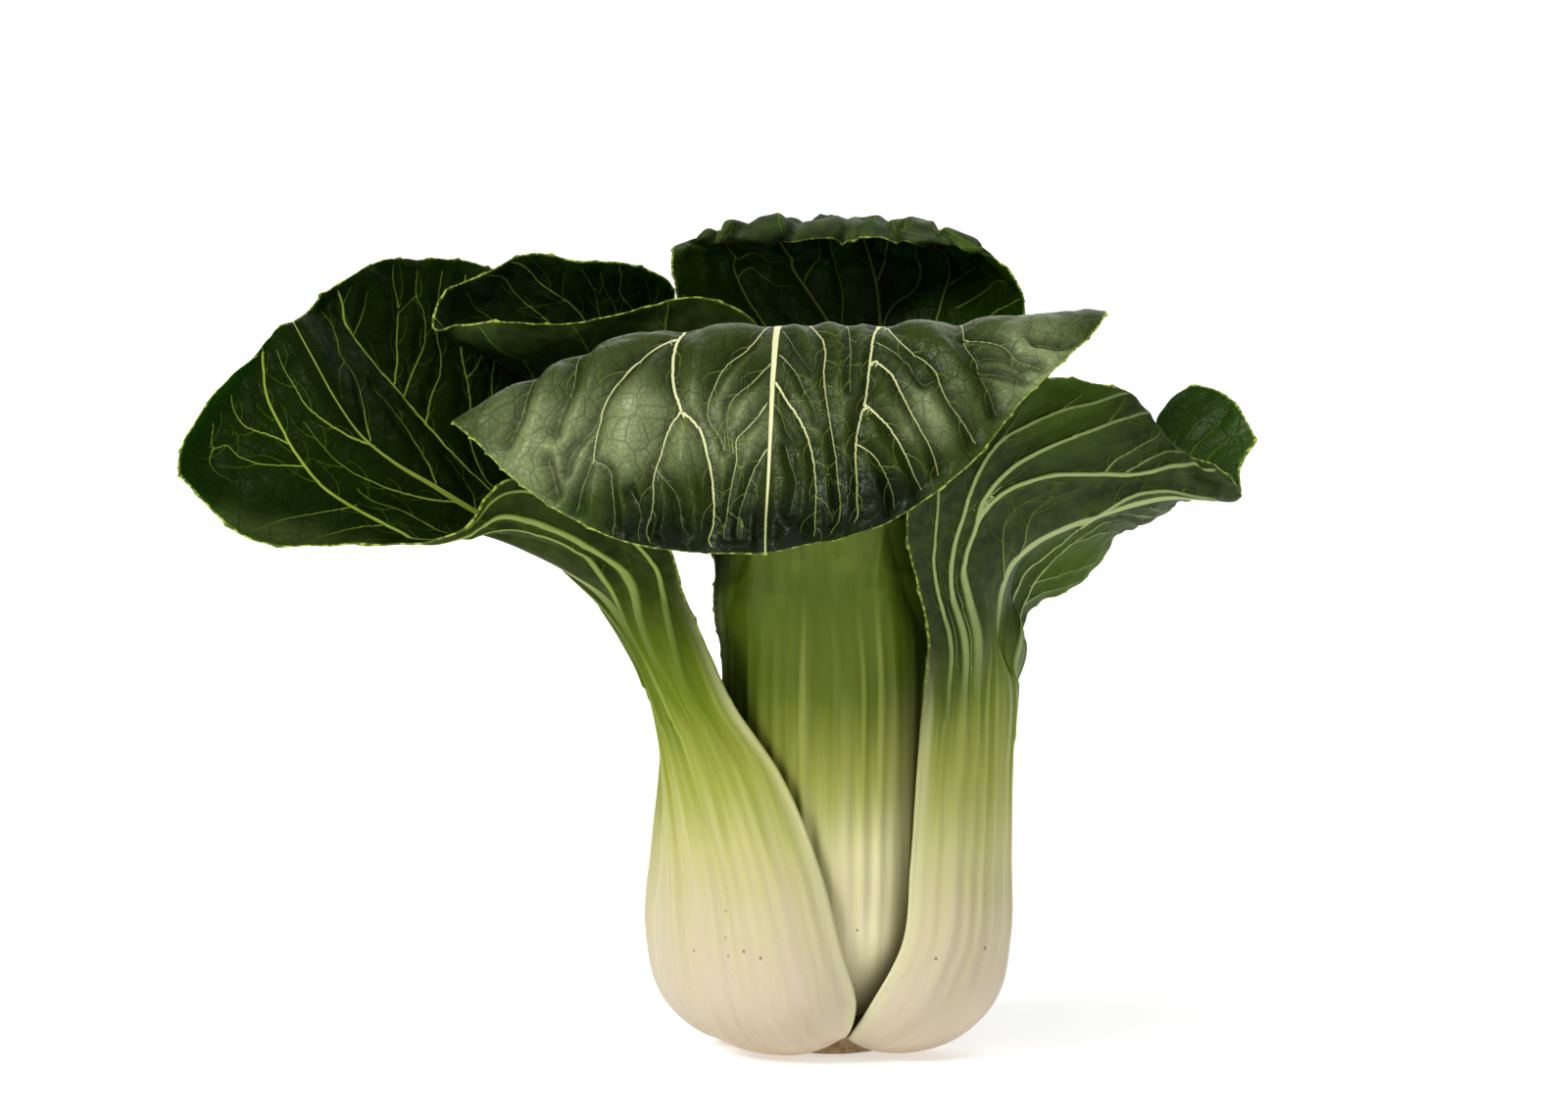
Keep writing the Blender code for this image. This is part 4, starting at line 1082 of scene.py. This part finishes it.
        # In the painted shade of the darker spots the thick veins dim towards the thin veins' colour.
        thick = self.mix(self.step(self.tone, 0.0, -1.0, 0.0, 0.6),
                         self.faces("vein_out", "vein_in"), thin)
        colour = self.mix(self.times(self.lines, self.leafy), colour, thin)
        colour = self.mix(self.times(self.core, self.leafy), colour, thick)
        colour = self.mix(self.times(self.rib, self.leafy), colour, thick)
        dots = self.noise(self.vector(self.place[0], self.place[1], 0.0), 0.8, 1.0)
        margin = self.times(self.step(self.place[2], 0.5, 0.12),
                            self.step(dots, 0.45, 0.6, 0.25, 1.0))
        colour = self.mix(self.times(margin, self.leafy), colour, rgb(MARGIN))
        self.put(self.surface.inputs["Base Color"], colour)

    def shine(self, gloss, rough):
        """Gloss, roughness and the light that shines through the surface a little."""
        inner = self.step(self.patch, 0.3, 0.7, rough - 0.06, rough + 0.06)
        blade = self.mix(self.face, rgb([OUTER_ROUGHNESS] * 3), inner)
        self.put(self.surface.inputs["Roughness"],
                 self.mix(self.leafy, rgb([STALK_ROUGHNESS] * 3), blade))
        self.surface.inputs["Specular IOR Level"].default_value = gloss
        self.surface.inputs["Subsurface Weight"].default_value = 0.2
        self.surface.inputs["Subsurface Radius"].default_value = (0.5, 1.0, 0.12)
        self.surface.inputs["Subsurface Scale"].default_value = 0.0025

    def carve(self):
        """Veins sunk in the inner face and raised on the outer one, fine creases and grain."""
        veins = self.times(self.lines, self.step(self.face, 0.0, 1.0, 0.8, -0.8))
        creases = self.scaled(self.pillow, 0.15, self.times(self.net, -0.15))
        creases = self.maths("ADD", creases, self.times(self.fine, -0.08))
        relief = self.scaled(creases, self.inner_share, veins)
        relief = self.times(relief, self.times(self.leafy, self.maths("SUBTRACT", 1.0, self.rib)))
        relief = self.maths("ADD", relief, self.times(self.streak, 0.5))
        relief = self.maths("ADD", relief, self.times(self.grain, 0.10))
        self.bump(relief, 0.0004)


def leaf_material(name, seed, gloss, rough, colours):
    """A leaf's skin: first where its lines run, then its colours, its shine and its relief."""
    skin = LeafSkin(name, seed, **colours)
    skin.find_lines()
    skin.paint()
    skin.shine(gloss, rough)
    skin.carve()
    return skin.material


def butt_material():
    shader = Shader("stem_butt_flesh")
    _, spot = shader.object_place()
    patch = shader.noise(spot, 0.5, 5.0, 0.65)
    fine = shader.noise(spot, 2.5, 4.0)
    colour = shader.mix(shader.step(patch, 0.35, 0.7), rgb(BUTT_LIGHT), rgb(BUTT_BROWN))
    colour = shader.mix(shader.step(fine, 0.55, 0.75, 0.0, 0.5), colour, rgb(BUTT_PALE))
    shader.put(shader.surface.inputs["Base Color"], colour)
    shader.put(shader.surface.inputs["Roughness"], shader.step(fine, 0.3, 0.7, 0.5, 0.75))
    shader.bump(patch, 0.0012)
    return shader.material


# The stem butt.

BUTT_SIDES = 96
CUT_RINGS = np.linspace(1.2, 9.3, 10)     # radii of the rings on the cut face
TOP_RINGS = (1.7, 0.9)                    # and on the top, under the heart leaves
SIDE_RINGS = 5                            # rings between two corners of the outline


def butt_rings():
    """Radius and height of each ring, from the middle of the cut face to the top."""
    rings = [(radius, 0.0) for radius in CUT_RINGS]
    for (r0, z0), (r1, z1) in zip(BUTT, BUTT[1:]):
        for t in np.linspace(0, 1, SIDE_RINGS + 1)[:-1]:
            rings.append((r0 + (r1 - r0) * t, z0 + (z1 - z0) * t))
    top = BUTT[-1][1]
    return rings + [BUTT[-1]] + [(radius, top) for radius in TOP_RINGS]


def turn_butt():
    """The butt turned about the head's axis, a little uneven all round."""
    turns = np.linspace(0, 2 * math.pi, BUTT_SIDES, endpoint=False)
    points = []
    for radius, height in butt_rings():
        wobble = 1 - 0.02 * (1 + np.sin(5 * turns + height)) - 0.01 * (1 + np.sin(11 * turns))
        points.append(np.stack([radius * wobble * np.cos(turns), radius * wobble * np.sin(turns),
                                np.full(BUTT_SIDES, height)], 1))
    corners = np.concatenate(points)
    caps = np.array([points[0].mean(0), points[-1].mean(0)])
    grid = np.arange(len(corners)).reshape(-1, BUTT_SIDES)
    around = np.roll(grid, -1, axis=1)
    sides = np.stack([grid[:-1], around[:-1], around[1:], grid[1:]], -1).reshape(-1, 4).tolist()
    bottom, top = len(corners), len(corners) + 1
    fans = [(bottom, int(b), int(a)) for a, b in zip(grid[0], around[0])]
    fans += [(top, int(a), int(b)) for a, b in zip(grid[-1], around[-1])]
    mesh = bpy.data.meshes.new("stem_butt_turned")
    mesh.from_pydata((np.concatenate([corners, caps]) * METRES).tolist(), [], sides + fans)
    mesh.update()
    mesh.shade_smooth()
    piece = bpy.data.objects.new("stem_butt_turned", mesh)
    bpy.context.scene.collection.objects.link(piece)
    piece.data.materials.append(butt_material())
    stand_in(piece, "stem_butt")


# Camera, floor and light.

TARGET = Vector((-0.010, 0, 0.100))
DISTANCE = 1.0
ELEVATION = 3
LENS = 112.5
SENSOR = 36
BACKDROP = (0.962, 0.962, 0.970)
FILL = 0.14           # strength of the light that comes from all round
FLOOR_COLOUR = (0.7, 0.7, 0.704)
FLOOR_GLOW = 0.36
FLOOR_HALF = 3.0      # half the side of the floor, in metres

# Far, soft lights that shine from a place towards the origin: place, spread in degrees, strength.
SUNS = {"key_sun": ((-0.65, -0.55, 0.60), 24, 1.75), "top_sun": ((0.10, -0.35, 1.0), 40, 0.6),
        "back_sun": ((0.2, 0.9, 0.7), 60, 0.9), "side_sun": ((0.8, -1.0, 0.06), 60, 0.66)}


def add_camera():
    camera = bpy.data.objects.new("camera", bpy.data.cameras.new("camera"))
    camera.data.lens = LENS
    camera.data.sensor_width = SENSOR
    camera.data.clip_start = 0.01
    up = math.radians(ELEVATION)
    camera.location = TARGET + Vector((0, -math.cos(up), math.sin(up))) * DISTANCE
    camera.rotation_euler = (TARGET - camera.location).to_track_quat("-Z", "Y").to_euler()
    bpy.context.scene.collection.objects.link(camera)
    bpy.context.scene.camera = camera


def add_sun(name, source, spread, strength):
    lamp = bpy.data.lights.new(name, "SUN")
    lamp.angle = math.radians(spread)
    lamp.energy = strength
    light = bpy.data.objects.new(name, lamp)
    light.rotation_euler = Vector(source).to_track_quat("Z", "Y").to_euler()
    bpy.context.scene.collection.objects.link(light)


def add_backdrop():
    """A world that looks nearly white to the camera and lights the head only a little."""
    world = bpy.data.worlds.new("studio")
    world.use_nodes = True
    tree = world.node_tree
    background = tree.nodes["Background"]
    background.inputs["Color"].default_value = rgb(BACKDROP)
    path = tree.nodes.new("ShaderNodeLightPath")
    power = tree.nodes.new("ShaderNodeMapRange")
    power.inputs["To Min"].default_value = FILL
    power.inputs["To Max"].default_value = 1.0
    tree.links.new(path.outputs["Is Camera Ray"], power.inputs["Value"])
    tree.links.new(power.outputs[0], background.inputs["Strength"])
    bpy.context.scene.world = world
    bpy.context.scene.view_settings.view_transform = "Standard"
    bpy.context.scene.view_settings.look = "High Contrast"


def add_floor():
    mesh = bpy.data.meshes.new("floor")
    corners = [(-1, -1), (1, -1), (1, 1), (-1, 1)]
    mesh.from_pydata([(x * FLOOR_HALF, y * FLOOR_HALF, 0) for x, y in corners], [], [(0, 1, 2, 3)])
    floor = bpy.data.objects.new("floor", mesh)
    bpy.context.scene.collection.objects.link(floor)
    shader = Shader("pale_floor")
    shader.surface.inputs["Base Color"].default_value = rgb(FLOOR_COLOUR)
    shader.surface.inputs["Emission Color"].default_value = (1, 1, 1, 1)
    shader.surface.inputs["Emission Strength"].default_value = FLOOR_GLOW
    shader.surface.inputs["Roughness"].default_value = 0.9
    shader.surface.inputs["Specular IOR Level"].default_value = 0.1
    mesh.materials.append(shader.material)


# The whole head: colours, growth and skin of each leaf.

# The bright colours of each set are painted light: sheen on the inner face and glow where light shines
# through the leaf.
GREEN = dict(inner_dark=(0.008, 0.020, 0.0004), inner_light=(0.017, 0.034, 0.0010),
             outer_dark=(0.034, 0.052, 0.014), outer_light=(0.062, 0.090, 0.024),
             vein_in=(0.28, 0.34, 0.07), vein_out=(0.32, 0.38, 0.14), vein_thin=(0.10, 0.17, 0.015),
             net_dark=(0.006, 0.014, 0.0004), painted_lit_in=(0.060, 0.075, 0.026),
             painted_lit_out=(0.10, 0.14, 0.035))
# FOLDED also paints shade into the valleys beside its veins.
FOLDED = dict(GREEN, inner_dark=(0.034, 0.052, 0.006), inner_light=(0.062, 0.090, 0.014),
              vein_in=(0.70, 0.70, 0.43), vein_thin=(0.24, 0.30, 0.08),
              net_dark=(0.006, 0.014, 0.001), painted_lit_in=(0.255, 0.285, 0.150), valley=0.6)
# ROLLED is lighter than GREEN on the inner face: painted light that lifts the deep shade inside the
# rolled leaf.
ROLLED = dict(GREEN, inner_dark=(0.022, 0.050, 0.001), inner_light=(0.040, 0.080, 0.002),
              vein_out=(0.06, 0.09, 0.02))
SWEPT = dict(GREEN, inner_dark=(0.014, 0.034, 0.0008), inner_light=(0.030, 0.060, 0.002),
             outer_dark=(0.034, 0.050, 0.015), outer_light=(0.060, 0.090, 0.024),
             vein_out=(0.36, 0.42, 0.20), painted_lit_in=(0.05, 0.10, 0.003),
             painted_lit_out=(0.075, 0.125, 0.010))
YOUNG = dict(inner_dark=(0.05, 0.10, 0.012), inner_light=(0.09, 0.16, 0.02),
             outer_dark=(0.08, 0.13, 0.025), outer_light=(0.13, 0.19, 0.04),
             vein_in=(0.5, 0.55, 0.24), vein_out=(0.36, 0.42, 0.14), vein_thin=(0.25, 0.33, 0.08),
             net_dark=(0.05, 0.09, 0.01), painted_lit_in=(0.12, 0.2, 0.03), painted_lit_out=(0.16, 0.24, 0.05))
HEART_COLOUR = dict(inner_dark=(0.42, 0.48, 0.13), inner_light=(0.55, 0.6, 0.2),
                    outer_dark=(0.45, 0.5, 0.15), outer_light=(0.6, 0.64, 0.25),
                    vein_in=(0.68, 0.7, 0.38), vein_out=(0.66, 0.68, 0.34),
                    vein_thin=(0.6, 0.64, 0.3), net_dark=(0.42, 0.48, 0.14),
                    painted_lit_in=(0.6, 0.64, 0.25), painted_lit_out=(0.6, 0.64, 0.25))

# How each leaf is grown. columns and step set its mesh. fade is the height up the leaf where the
# pale stalk ends, and wing brings that lower at the edges. quilt gives the swellings between the
# veins (spread, height, where they are full), and bubble the blisters (size, height, where they
# begin; below 0 they rise on the outer face). bend turns a margin inward (from, to, side, width,
# amount), stretch pulls the left margin outward (from, to, amount), and wave is the share of the
# edge's waves. vein_scale widens the veins. Last, the spots of painted light or, below 0, of
# painted shade (x, z, reach, amount).
GROWTH = {
    "leaf_left": dict(columns=140, step=0.75, fade=108, wave=0.2, vein_scale=1.2,
                      bend=(168, 202, -1, 8, 3.0),
                      tone=[(-119, 107, 5, 1.2), (-110, 105, 5, 1.2), (-101, 104, 5, 1.0),
                            (-92, 103, 4, 0.8), (-55, 110, 9, 0.5)]),
    "leaf_front": dict(columns=150, step=0.6, fade=118, wing=26, quilt=(3.4, 3.6, 174),
                       bubble=(12, 0.5, 0),
                       tone=[(-57, 125, 11, 1.0), (-39, 128, 10, 1.0), (-21, 129, 9, 1.0),
                             (1, 119, 6, -0.3), (-3, 133, 7, 0.4), (17, 131, 7, 0.8),
                             (38, 140, 9, 1.1),
                             (-36, 107, 9, -1.2), (-14, 104, 11, -1.7), (9, 110, 10, -1.7),
                             (4, 42, 10, 0.4), (3, 24, 8, 0.6), (4, 11, 6, 1.0),
                             (18, 72, 8, 0.3), (18, 60, 8, 0.4), (18, 48, 8, 0.5),
                             (17, 36, 8, 0.5), (13, 26, 7, 0.4)]),
    "leaf_right": dict(columns=140, step=0.75, fade=97,
                       tone=[(44, 136, 12, 1.2), (50, 96, 12, 1.2), (82, 124, 11, 0.4)]),
    "leaf_upper_left": dict(columns=110, step=0.8, fade=100, stretch=(122, 144, 3.4)),
    "leaf_back_tall": dict(columns=110, step=0.75, fade=85, bubble=(12, -2.4, 156), wave=0.2,
                           vein_scale=1.5),
    "leaf_back_outer": dict(columns=100, step=0.9, fade=105),
    "leaf_right_rear": dict(columns=70, step=0.9, fade=100),
    "leaf_left_rear": dict(columns=60, step=0.9, fade=100),
    "leaf_inner_right": dict(columns=60, step=1.1, fade=85),
    "leaf_inner_left": dict(columns=60, step=1.1, fade=85),
}
HEARTS = ("heart_leaf_tall", "heart_leaf_middle", "heart_leaf_short")
for heart in HEARTS:
    GROWTH[heart] = dict(columns=36, step=1.2, fade=55, bubble=(5, 0.2, 0))

# Gloss, roughness of the inner face, and colours of each leaf.
SKIN = {
    "leaf_left": (0.07, 0.40, GREEN), "leaf_front": (0.3, 0.40, FOLDED),
    "leaf_right": (0.3, 0.42, SWEPT), "leaf_upper_left": (0.15, 0.42, GREEN),
    "leaf_back_tall": (0.3, 0.42, ROLLED), "leaf_back_outer": (0.35, 0.42, GREEN),
    "leaf_right_rear": (0.35, 0.42, SWEPT), "leaf_left_rear": (0.35, 0.42, GREEN),
    "leaf_inner_right": (0.3, 0.42, YOUNG), "leaf_inner_left": (0.3, 0.42, YOUNG),
}
SKIN.update((heart, (0.3, 0.42, HEART_COLOUR)) for heart in HEARTS)

# Side veins on each half of the leaves that the photograph doesn't show.
SIDE_VEINS = {"leaf_back_outer": 9, "leaf_right_rear": 7, "leaf_left_rear": 7,
              "leaf_inner_right": 6, "leaf_inner_left": 6, **dict.fromkeys(HEARTS, 4)}


def main():
    add_camera()
    add_backdrop()
    add_floor()
    for name, sun in SUNS.items():
        add_sun(name, *sun)
    for name, growth in GROWTH.items():
        leaf = LEAVES[name]
        if name in VEINS:
            veins = traced_veins(name)
        else:
            veins = side_veins(leaf, SIDE_VEINS[name], leaf.seed)
        hairs = twiglets(leaf, veins, growth["fade"], leaf.seed)
        piece = grow(name, veins, hairs, **growth)
        gloss, rough, colours = SKIN[name]
        skin = leaf_material(name + "_skin", leaf.seed, gloss, rough, colours)
        piece.data.materials.append(skin)
    turn_butt()
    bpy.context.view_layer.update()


main()
